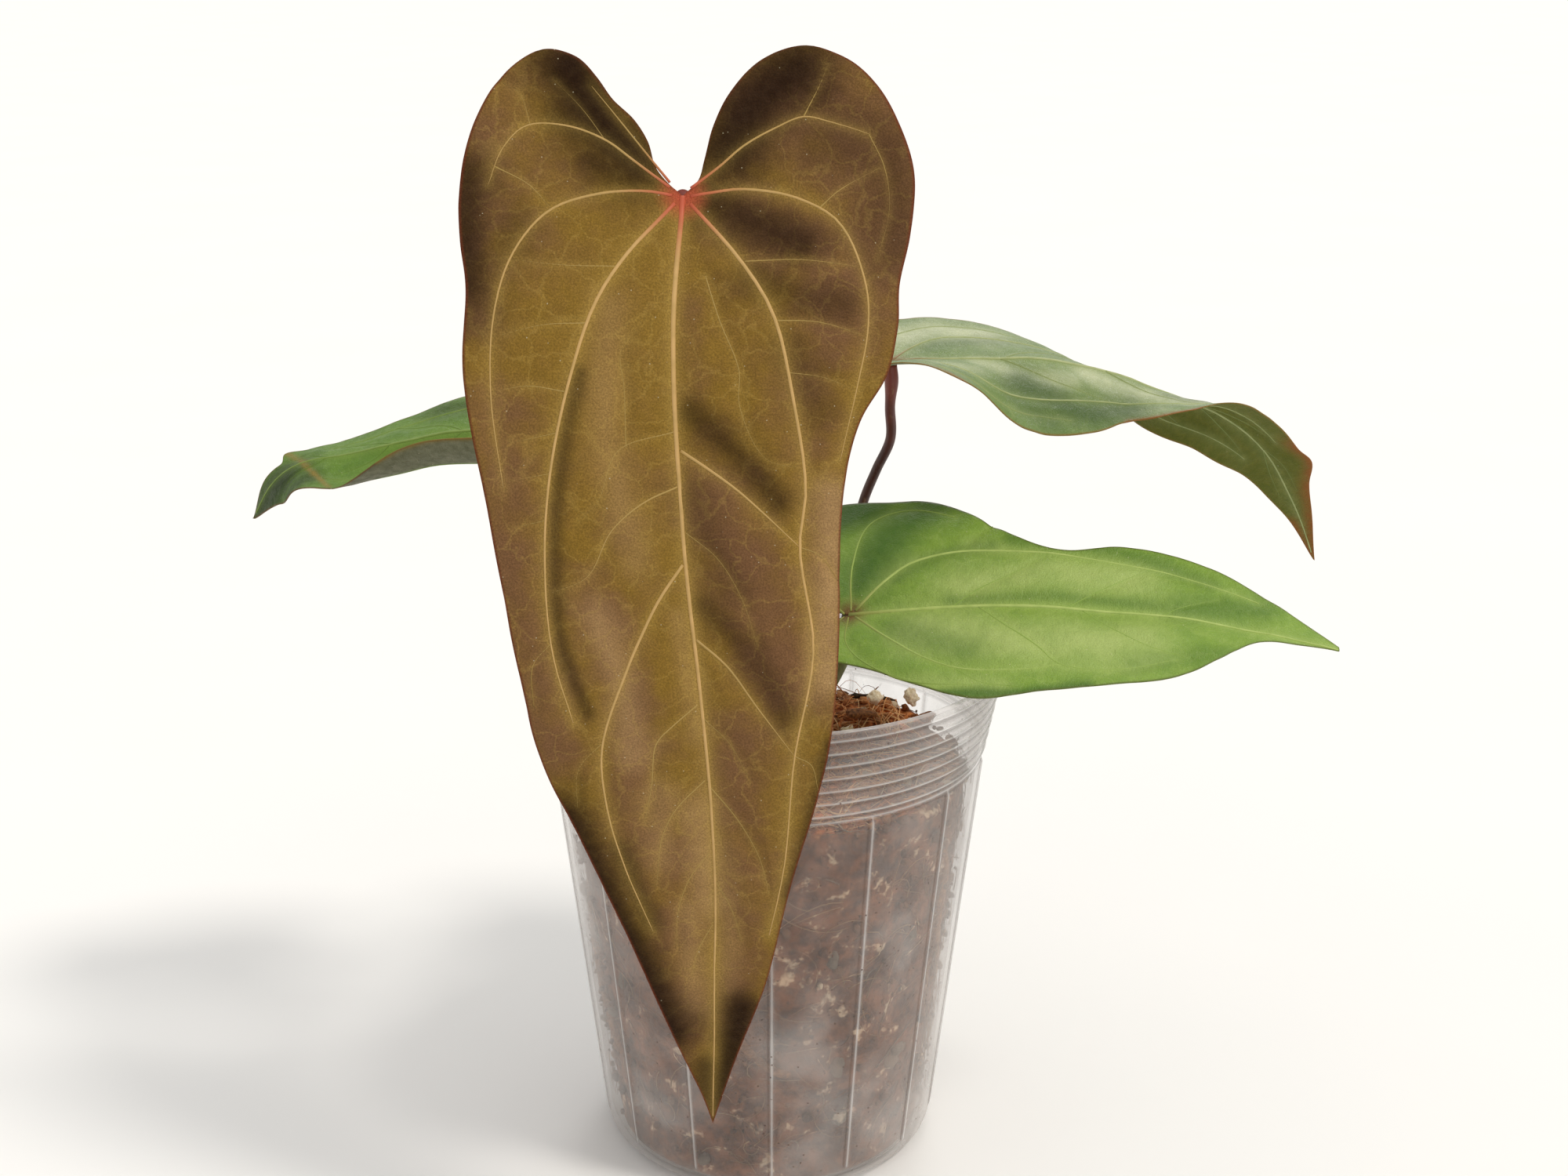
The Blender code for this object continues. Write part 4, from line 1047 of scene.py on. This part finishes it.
def build_chips(finish):
    """Each husk chip: a ball over (|x|^4 + |y|^3 + |z|^3)^0.3, scaled to a slab that narrows to one end."""
    for i, (length, turn) in enumerate(CHIPS):
        node = f"coir_chip_{i + 1}"
        polar = np.linspace(0, np.pi, 34)[1:-1][:, None]
        around = np.linspace(0, 2 * np.pi, 40, endpoint=False)
        y, z = np.sin(polar) * np.cos(around), np.sin(polar) * np.sin(around)
        ball = np.stack(np.broadcast_arrays(-np.cos(polar), y, z), -1)
        ball = ball / (np.abs(ball) ** (4, 3, 3)).sum(-1, keepdims=True) ** 0.3
        narrow = 1 - 0.2 * ball[..., :1]
        narrow = np.concatenate([np.ones_like(narrow), narrow, narrow], -1)
        slab = ball * (length / 2, length * 0.21, 0.75) * narrow
        grain = rough(slab * (0.25, 2.2, 1.0) + 20 * i, 0.8, 70 + i)
        slab = slab * (1 + 0.09 * grain[..., None]) + (0, 0, 0.25) * rough(slab, 3, 80 + i)[..., None]
        ends = slab[[0, -1]].mean(axis=1)
        points = np.concatenate([slab.reshape(-1, 3), ends]) * MM
        rows, columns = slab.shape[:2]
        caps = end_caps(rows, columns)[:, [1, 0, 2]]
        turned = Matrix.Rotation(np.radians(turn), 3, "Z")
        tilt = turned @ Matrix.Rotation(0.1 * (-1) ** i, 3, "Y") @ Matrix.Rotation(0.15, 3, "X")
        points = points @ np.array(tilt).T + box_middle(node)
        piece = make_object(node + "_husk", points, [grid_faces(rows, columns, wrap=True), caps], [finish])
        stand_for(piece, "coir_mix", node)


def build_roots(finish):
    """Roots along the wall: tapering tubes with 0.06 swellings of 4 mm, whose ends run into the mix."""
    for name, stations in ROOTS.items():
        height, angle = by_fraction(smooth_curve(stations, 8), np.linspace(0, 1, 90)).T
        height, angle = height * MM, np.radians(angle)
        into = np.linspace(-1, 1, 90) ** 6
        radius = wall_radius(height) - WALL - ROOT_GAP - ROOT_RADIUS - 0.006 * into
        path = turned_points(radius, angle, height)
        thick = ROOT_RADIUS * np.linspace(1, 0.7, 90) * (0.95 + 0.06 * rough(path / MM, 4, 5))
        points, quads, caps = tubes([path], thick[None], sides=20)
        piece = make_object(name + "_skin", points, [quads, caps], [finish])
        stand_for(piece, "root", name)


def build_crown(finish):
    """The short stem, knobbly with leaf scars, and the two dry scales that wrap it."""
    low, high = (np.array(corner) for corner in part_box("stem"))
    heights = np.linspace(low[2], high[2], 40)[:, None]
    angles = np.linspace(0, 2 * np.pi, 64, endpoint=False)
    share = (heights - low[2]) / (high[2] - low[2])
    radii = 0.0047 * np.interp(share, [0, 0.6, 0.8, 0.93, 1], [1, 0.97, 0.88, 0.6, 0.2]) + 0 * angles
    points = turned_points(radii, angles, heights) / MM
    radii = radii * (1 + 0.06 * rough(points, 2.5, 91) + 0.03 * np.sin(heights / MM * 4.2))
    points, faces = turned_solid(radii, angles, heights)
    stand_for(make_object("crown_skin", points, faces, [finish]), "crown", "stem")

    for name, angle, half_width, height in (("bract_front", 11, 25, 0.021), ("bract_back", 182, 32, 0.017)):
        u = np.linspace(-1, 1, 41)
        v = np.linspace(0, 1, 60)[:, None]
        edge_spot = np.stack(np.broadcast_arrays(np.sign(u), v * 40, v * 0), -1)
        ragged = 1 + 0.05 * rough(edge_spot, 2, 92) * np.abs(u) ** 3
        spread = np.radians(half_width) * (1 - 0.995 * v**2.2) * u * ragged
        radius = 0.0061 + 0.004 * v**2 + 0.00012 * np.sin(26 * u) * (1 - v)
        turned = np.radians(angle) + spread
        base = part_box(name)[0][2]
        rise = base + height * v + 0 * u
        sheets = [turned_points(radius + half, turned, rise) for half in (-0.00015, 0.00015)]
        rows, columns = sheets[0].shape[:2]
        quads = grid_faces(rows, columns)
        count = rows * columns
        index = np.arange(count).reshape(rows, columns)
        rim = [
            np.stack([line[:-1], line[1:], line[1:] + count, line[:-1] + count], -1)
            for line in (index[0], index[:, -1], index[-1, ::-1], index[::-1, 0])
        ]
        points = np.concatenate([sheet.reshape(-1, 3) for sheet in sheets])
        piece = make_object(name + "_scale", points, [quads, quads[:, ::-1] + count, *rim], [finish])
        stand_for(piece, "crown", name)


def build_twig(finish):
    """A thin dark twig with a broken knob."""
    path = by_fraction(smooth_curve(TWIG), np.linspace(0, 1, 60))
    t = np.linspace(0, 1, 60)
    knob = 0.35 * np.exp(-(((t - 0.08) / 0.06) ** 2))
    node = 0.12 * np.exp(-(((t - 0.5) / 0.05) ** 2))
    radius = 0.42 + knob + node + 0.05 * rough(path, 1.5, 95)
    points, quads, caps = tubes([path], radius[None], sides=14)
    stand_for(make_object("twig_bark", points * MM, [quads, caps], [finish]), "twig", "twig")


# ---------------------------------------------------------------- finishes


def leaf_skin(name, tones, sheen, gloss, grain, specular, patchy):
    """Living leaf skin, laid out in flat leaf millimetres.

    The tones are the lit and tinted parts, the painted sheen, the painted shade (also used for random
    mottling), the veins' glow, the joint, the margin, the underside and dried tissue.
    """
    made, add, finish = new_material(name)
    flat = add("Attribute", out="Vector", attribute_name="flat")
    zone = add("SeparateXYZ", add("Attribute", out="Vector", attribute_name="zone")).node.outputs
    tone = add("SeparateXYZ", add("Attribute", out="Vector", attribute_name="tone")).node.outputs
    parts = add("SeparateXYZ", flat).node.outputs
    spot = add("CombineXYZ", parts[0], parts[1])
    # pale is the painted sheen's colour, and dark the painted shade's colour, also used for random mottling
    lit, tinted, pale, dark, vein, joint, margin, underside, dried = (linear(code) for code in tones)

    # Clouds of 8 mm and cells of 2 mm between the veins
    clouds = add("MapRange", add("TexNoise", spot, 0.13, 3, 0.6), 0.34, 0.66)
    cells = add("MapRange", add("TexNoise", spot, 0.5, 4, 0.65), 0.3, 0.7)
    shade = add("Math", add("Math", clouds, patchy, operation="MULTIPLY"), tone[0])
    colour = add("Mix", add("MapRange", shade, 0.0, 1.1), lit, tinted)
    colour = add("Mix", add("Math", cells, 0.12, operation="MULTIPLY"), colour, dark)
    # Painted sheen, eased by the clouds
    painted_sheen = add("Math", tone[2], add("MapRange", clouds, 0, 1, 1.0, 0.75), operation="MULTIPLY")
    colour = add("Mix", painted_sheen, colour, pale)

    # A net of fine veins about 8 mm across, swayed by noise, then painted shade and the glow beside each vein
    sway = add("TexNoise", spot, 0.25, out="Color")
    swayed = add("VectorMath", sway, (6, 6, 0), spot, operation="MULTIPLY_ADD")
    net = add("TexVoronoi", swayed, 0.13, feature="DISTANCE_TO_EDGE")
    colour = add("Mix", add("MapRange", net, 0.0, 0.045, 0.19, 0.0), colour, vein)
    painted_shade = add("Math", zone[1], add("MapRange", cells, 0, 1, 0.92, 1.0), operation="MULTIPLY")
    colour = add("Mix", painted_shade, colour, dark)
    glow = add("MapRange", zone[0], 0.0, 1.0, 0.0, 0.6, interpolation_type="LINEAR")
    colour = add("Mix", glow, colour, vein)
    # Painted shade once more, over the glow
    colour = add("Mix", add("Math", zone[1], 0.45, operation="MULTIPLY"), colour, dark)
    reach = add("VectorMath", spot, operation="LENGTH")
    colour = add("Mix", add("MapRange", reach, 0.5, 6.0, 0.8, 0.0), colour, joint)
    near_margin = add("MapRange", zone[2], 0.15, 0.9, 0.0, 0.8)
    colour = add("Mix", near_margin, colour, margin)

    # The underside shows the veins through a plainer skin
    below = add("Mix", add("Math", zone[0], 0.45, operation="MULTIPLY"), underside, vein)
    below = add("Mix", add("Math", cells, 0.35, operation="MULTIPLY"), below, dark)
    below = add("Mix", near_margin, below, margin)
    colour = add("Mix", parts[2], colour, below)
    dry = add("Math", tone[1], add("MapRange", cells, 0, 1, 0.7, 1.0), operation="MULTIPLY")
    colour = add("Mix", dry, colour, dried)

    # Grain of 0.3 mm, and a few pale specks of dust
    fine = add("MapRange", add("TexNoise", spot, 2.8, 2, 0.7), 0.3, 0.7)
    grains = add("Mix", fine, (1 - grain,) * 3 + (1,), (1 + grain,) * 3 + (1,))
    colour = add("Mix", 1.0, colour, grains, blend_type="MULTIPLY")
    specks = add("TexVoronoi", spot, 0.4)
    colour = add("Mix", add("MapRange", specks, 0.03, 0.06, 0.5, 0.0), colour, linear("#d8cfb0"))
    grain_height = add("Math", fine, 0.6, operation="MULTIPLY")
    height = add("Math", grain_height, add("Math", cells, 1.3, operation="MULTIPLY"))
    roughness = add("MapRange", cells, 0, 1, gloss - 0.05, gloss + 0.08)
    finish({
        "Base Color": colour,
        "Roughness": add("Math", roughness, add("Math", parts[2], 0.2, operation="MULTIPLY")),
        "IOR": 1.45,
        "Specular IOR Level": specular,
        "Sheen Weight": sheen[0],
        "Sheen Roughness": sheen[1],
        "Sheen Tint": linear(sheen[2]),
        "Normal": add("Bump", named={"Strength": 0.5, "Distance": 0.00025, "Height": height}),
    })
    return made


def vein_skin(name, strong, weak, joint, gloss):
    """A vein's skin: strong veins paler than weak ones, tinted at the joint."""
    made, add, finish = new_material(name)
    flat = add("Attribute", out="Vector", attribute_name="flat")
    zone = add("Attribute", out="Vector", attribute_name="zone")
    strength = add("SeparateXYZ", zone)
    reach = add("VectorMath", flat, operation="LENGTH")
    colour = add("Mix", add("MapRange", strength, 0.2, 0.8), linear(weak), linear(strong))
    clouds = add("MapRange", add("TexNoise", flat, 0.3, 3), 0.3, 0.75, 0.0, 0.45)
    colour = add("Mix", clouds, colour, linear(weak))
    colour = add("Mix", add("MapRange", reach, 1.0, 14.0, 0.9, 0.0), colour, linear(joint))
    fine = add("TexNoise", flat, 2.5, 2)
    finish({
        "Base Color": colour, "Roughness": gloss, "IOR": 1.45, "Specular IOR Level": 0.35,
        "Normal": add("Bump", named={"Strength": 0.4, "Distance": 0.00008, "Height": fine}),
    })
    return made


def stalk_skin(name, low, high, fleck):
    """A stalk's waxy skin: one tone low down, another near the blade, and pale lengthwise flecks."""
    made, add, finish = new_material(name)
    place = add("TexCoord", out="Object")
    run = add("SeparateXYZ", add("Attribute", out="Vector", attribute_name="run"))
    colour = add("Mix", add("MapRange", run, 0.0, 28.0, 1.0, 0.0), linear(low), linear(high))
    long_spot = add("Mapping", place, named={"Scale": (1, 1, 0.25)})
    flecks = add("MapRange", add("TexNoise", long_spot, 900, 3), 0.6, 0.75, 0.0, 0.55)
    colour = add("Mix", flecks, colour, linear(fleck))
    clouds = add("MapRange", add("TexNoise", place, 120, 3), 0.35, 0.7, 0.72, 1.15)
    colour = add("Mix", 1.0, colour, add("CombineXYZ", clouds, clouds, clouds), blend_type="MULTIPLY")
    fine = add("TexNoise", long_spot, 1500, 2)
    finish({
        "Base Color": colour, "Roughness": 0.42, "IOR": 1.45,
        "Normal": add("Bump", named={"Strength": 0.5, "Distance": 0.00006, "Height": fine}),
    })
    return made


def pot_plastic():
    """Thin injection-moulded polypropylene.

    The eye sees a faint milky veil in front, whiter along the wall, with painted highlights on the ridges
    and painted shade beside them. Scuffs haze it and dried mix dots it.
    """
    made, add, finish = new_material("Clear polypropylene, moulded")
    place = add("TexCoord", out="Object")
    zone = add("SeparateXYZ", add("Attribute", out="Vector", attribute_name="zone")).node.outputs
    facing = add("LayerWeight", 0.4, out="Facing")
    scuffs = add("MapRange", add("TexNoise", place, 45, 5, 0.65), 0.35, 0.75)
    dirt = add("MapRange", add("TexNoise", place, 520, 3, 0.6), 0.66, 0.72)
    specks = add("MapRange", add("TexVoronoi", place, 380.0), 0.06, 0.1, 1.0, 0.0)
    dirt = add("Math", add("Math", dirt, 0.35, operation="MULTIPLY"), specks, operation="MAXIMUM")
    # Painted shade beside each ridge, then a painted white highlight on its crest
    colour = add("Mix", zone[1], linear("#d8d2cd"), linear("#776d67"))
    colour = add("Mix", add("Math", zone[0], 0.6, operation="MULTIPLY"), colour, linear("#ffffff"))
    colour = add("Mix", dirt, colour, linear("#5c3a26"))
    haze = add("MapRange", add("TexNoise", place, 38, 3, 0.55), 0.48, 0.68, 0.0, 0.12)
    milk = add("Math", add("Math", scuffs, 0.08, operation="MULTIPLY"), haze)
    milk = add("Math", milk, add("Math", add("Math", zone[2], 0.12, operation="MULTIPLY"), 0.1))
    grazing = add("Math", add("Math", facing, 2.2, operation="POWER"), 0.55, operation="MULTIPLY")
    milk = add("Math", milk, grazing)
    # The painted highlight and painted shade also thicken the veil
    painted_highlight, painted_ridge_shade = (add("Math", zone[i], share, operation="MULTIPLY") for i, share in ((0, 0.3), (1, 0.25)))
    ridge = add("Math", painted_highlight, painted_ridge_shade, operation="MAXIMUM")
    milk = add("Math", milk, ridge)
    alpha = add("Math", milk, add("Math", dirt, 0.7, operation="MULTIPLY"), operation="MAXIMUM")
    waves = add("TexNoise", place, 200, 2)
    finish({
        "Base Color": colour, "Alpha": alpha, "IOR": 1.49,
        "Roughness": add("MapRange", scuffs, 0, 1, 0.12, 0.28),
        "Normal": add("Bump", named={"Strength": 0.25, "Distance": 0.0001, "Height": waves}),
    })
    return made


def coir_finish(name, dark, warm, light, fine_scale):
    """Coconut coir: matt orange-brown pith, with darker noise patches as painted shade in its gaps."""
    made, add, finish = new_material(name)
    place = add("TexCoord", out="Object")
    shade = add("SeparateXYZ", add("Attribute", out="Vector", attribute_name="zone"))
    clumps = add("MapRange", add("TexNoise", place, 260, 4, 0.65), 0.36, 0.68)
    fine = add("TexNoise", place, fine_scale, 3, 0.7)
    # Darker clumps: painted shade in the gaps of the pith
    colour = add("Mix", clumps, linear(dark), linear(warm))
    colour = add("Mix", add("MapRange", fine, 0.5, 0.8, 0.0, 0.7), colour, linear(light))
    colour = add("Mix", add("MapRange", shade, 0.1, 0.6, 0.0, 0.8), colour, linear(light))
    colour = add("Mix", add("MapRange", shade, 0.85, 1.0), colour, linear("#cdb59a"))
    # Below the surface it is damp against the wall: greyer, blotched, with pale salts here and there
    blotches = add("TexNoise", place, 95, 4, 0.6)
    damp = add("Mix", add("MapRange", blotches, 0.38, 0.6), linear("#1e1a1a"), linear("#6c5448"))
    salts = add("MapRange", add("TexNoise", place, 190, 3, 0.6), 0.6, 0.7, 0.0, 0.9)
    damp = add("Mix", salts, damp, linear("#dcc8aa"))
    height = add("SeparateXYZ", place, out="Z")
    flat = add("VectorMath", place, (1, 1, 0), operation="MULTIPLY")
    beside_wall = add("MapRange", add("VectorMath", flat, operation="LENGTH"), 0.0418, 0.0438, 0.0, 0.75)
    wet = add("Math", add("MapRange", height, 0.0862, 0.0878, 0.75, 0.0), beside_wall, operation="MAXIMUM")
    colour = add("Mix", wet, colour, damp)
    finish({
        "Base Color": colour, "Roughness": 0.88, "Specular IOR Level": 0.25,
        "Normal": add("Bump", named={"Strength": 0.8, "Distance": 0.0004, "Height": fine}),
    })
    return made


def grainy(name, light, dark, scale, rough_value, depth, stretch=(1, 1, 1)):
    """A matt natural surface with grain of this scale, in metres to the minus one, stretched as given."""
    made, add, finish = new_material(name)
    place = add("Mapping", add("TexCoord", out="Object"), named={"Scale": stretch})
    grain = add("TexNoise", place, scale, 5, 0.65)
    colour = add("Mix", add("MapRange", grain, 0.32, 0.68), linear(light), linear(dark))
    finish({
        "Base Color": colour, "Roughness": rough_value, "Specular IOR Level": 0.3,
        "Normal": add("Bump", named={"Strength": 0.9, "Distance": depth, "Height": grain}),
    })
    return made


# ---------------------------------------------------------------- scene


def set_camera():
    """The main view's camera."""
    camera = bpy.data.cameras.new("View")
    camera.lens = LENS
    camera.sensor_width = 36
    camera.clip_start = 0.01
    made = bpy.data.objects.new("View", camera)
    made.location = CAMERA_PLACE
    made.rotation_euler = np.radians([90 - CAMERA_DOWN, 0, -CAMERA_TURN])
    bpy.context.scene.collection.objects.link(made)
    bpy.context.scene.camera = made


def add_sun(name, place, strength, softness, colour):
    """A distant soft light that shines from this direction towards the plant."""
    lamp = bpy.data.lights.new(name, "SUN")
    lamp.energy = strength
    lamp.angle = np.radians(softness)
    lamp.color = linear(colour)[:3]
    made = bpy.data.objects.new(name, lamp)
    made.location = place
    made.rotation_euler = Vector(place).to_track_quat("Z", "Y").to_euler()
    bpy.context.scene.collection.objects.link(made)


def set_light():
    """An even pale room, a broad key from the front right and a soft light from behind."""
    world = bpy.data.worlds.new("Soft room")
    world.use_nodes = True
    world.node_tree.nodes["Background"].inputs["Color"].default_value = linear("#fffefc")
    world.node_tree.nodes["Background"].inputs["Strength"].default_value = WORLD_STRENGTH
    bpy.context.scene.world = world
    bpy.context.scene.view_settings.view_transform = "Standard"
    add_sun("Key", (0.8, -0.45, 1.3), KEY_STRENGTH, 12, "#fffaf2")
    add_sun("Back", (0.3, 1.2, 1.0), BACK_STRENGTH, 25, "#ffffff")


def build_floor():
    """A wide pale floor just under the pot, as staging."""
    made, add, finish = new_material("Pale studio floor")
    place = add("TexCoord", out="Object")
    colour = add("Mix", add("TexNoise", place, 9, 3), linear("#f2f1ef"), linear("#f6f5f3"))
    finish({"Base Color": colour, "Roughness": 0.9, "Specular IOR Level": 0.1})
    points = np.array([[-20, -20, -0.0004], [20, -20, -0.0004], [20, 20, -0.0004], [-20, 20, -0.0004]])
    make_object("floor", points, [np.array([[0, 1, 2, 3]])], [made])


def main():
    """The staging, the finishes and the pieces."""
    set_camera()
    set_light()
    build_floor()

    # Velvet skin scatters light back at grazing angles: its pale folds are painted sheen and its deep faces
    # painted shade, over a little real sheen
    bronze = leaf_skin(
        "Velvet leaf skin, bronze",
        ("#866828", "#785638", "#b08e60", "#221003", "#b4964e", "#b8483a", "#6e3420", "#7c5844", "#8a5a2a"),
        sheen=(0.05, 0.5, "#e8b98a"), gloss=0.62, grain=0.22, specular=0.1, patchy=0.3,
    )
    # Waxy veins, paler than the blade and reddened at the joint
    bronze_veins = vein_skin("Leaf veins, peach", "#cba56a", "#a58a4a", "#c0503c", 0.5)
    # Satin skin: a broad soft highlight over fresh green, painted into the colour
    low_green = leaf_skin(
        "Satin leaf skin, fresh green",
        ("#84a43a", "#6a902c", "#b0c270", "#37600f", "#aabf66", "#7c7434", "#5f6a2c", "#7c8a4a", "#6a3c1c"),
        sheen=(0.04, 0.4, "#e6eccb"), gloss=0.4, grain=0.05, specular=0.4, patchy=0.5,
    )
    low_green_veins = vein_skin("Leaf veins, yellow green", "#b8ca74", "#8aa848", "#94984e", 0.42)
    # An older leaf: greyer, with a soft shine, a painted pale sheen, and an underside brightened as painted
    # light shining through
    grey_green = leaf_skin(
        "Satin leaf skin, grey green",
        ("#6e8640", "#5a722e", "#c6cba2", "#34500c", "#9aa668", "#84603c", "#8a6a2c", "#606200", "#8a5216"),
        sheen=(0.03, 0.4, "#e6eccb"), gloss=0.32, grain=0.05, specular=0.4, patchy=0.5,
    )
    grey_green_veins = vein_skin("Leaf veins, pale green", "#a8b078", "#7c8a4c", "#84603c", 0.4)
    # A shaded leaf: its shade painted into the deepest green, with little shine
    deep_green = leaf_skin(
        "Satin leaf skin, deep green",
        ("#66882a", "#4c7020", "#9aac60", "#162600", "#80984a", "#7a6a3a", "#6a4c2a", "#74755a", "#8a7430"),
        sheen=(0.0, 0.4, "#dfe8c0"), gloss=0.42, grain=0.05, specular=0.25, patchy=0.5,
    )
    deep_green_veins = vein_skin("Leaf veins, leaf green", "#82984a", "#5c7828", "#7a6a3a", 0.42)
    # Waxy stalks with a narrow highlight: young ones maroon, the low leaf's olive
    maroon = stalk_skin("Stalk skin, maroon", "#4a2c22", "#7a3a30", "#8a6a50")
    green_stalk = stalk_skin("Stalk skin, olive", "#6a6a3a", "#7a7a44", "#a09a68")

    blades = {}
    # dark is each leaf's painted shade, tinted its tint (partly painted shade), pale its painted sheen
    for name, skin, veins, across, along, quilting, dark, tinted, pale, dry in (
        ("bronze_leaf", bronze, bronze_veins, 66, 300, 0.75, BRONZE_PAINTED_SHADE, BRONZE_MAUVE_AND_SHADE, BRONZE_PAINTED_SHEEN, ()),
        ("low_green_leaf", low_green, low_green_veins, 50, 210, 0.4, LOW_PAINTED_SHADE, (), LOW_PAINTED_SHEEN, LOW_DRY),
        (
            "drooping_green_leaf", grey_green, grey_green_veins, 50, 220, 0.35,
            DROOPING_PAINTED_SHADE, (), DROOPING_PAINTED_SHEEN, DROOPING_DRY,
        ),
        ("left_green_leaf", deep_green, deep_green_veins, 50, 190, 0.3, LEFT_PAINTED_SHADE, (), (), LEFT_DRY),
    ):
        seed = 100 + along
        blades[name] = build_blade(
            name, LEAVES[name], skin, veins, across, along, quilting, seed, dark, tinted, pale, dry,
        )
    for name, leaf in LEAVES.items():
        skin, slot = (green_stalk, "green_stalk") if name == "low_green_leaf" else (maroon, "maroon_stalk")
        build_stalk(name, leaf, blades[name], skin, slot)

    # Matt orange-brown pith, straw-like fibres and darker crumbs, brightened as painted sunlight on the top,
    # all greyer where they are damp
    coir = coir_finish("Coconut coir, pith", "#7a4422", "#dc8448", "#f8b478", 1400)
    fibre = coir_finish("Coconut coir, fibres", "#c47036", "#f8a45a", "#ffd49c", 2500)
    crumb = coir_finish("Coconut coir, crumbs", "#5c3018", "#b86e3c", "#e0a06a", 2200)
    build_pot(pot_plastic())
    build_mix(coir)
    build_fibres("top_fibres", fibre, 900, False, 21)
    build_fibres("wall_fibres", fibre, 700, True, 22)
    build_crumbs(crumb)
    # Chalky white perlite, woody husk, corky roots, papery scales and nearly black bark, all matt
    build_lumps(grainy("Expanded perlite", "#fff2dc", "#dcc098", 2200, 0.9, 0.0003))
    build_chips(grainy("Coconut husk, torn", "#a86c3c", "#55301a", 1500, 0.85, 0.0003))
    build_roots(grainy("Root skin, corky", "#a2734c", "#6e4528", 700, 0.75, 0.0002))
    build_crown(grainy("Dry scale leaf, papery", "#8c6440", "#4a2e1a", 900, 0.7, 0.0002, (1, 1, 0.3)))
    build_twig(grainy("Twig bark", "#4c3826", "#1e140c", 1600, 0.8, 0.0002))


main()
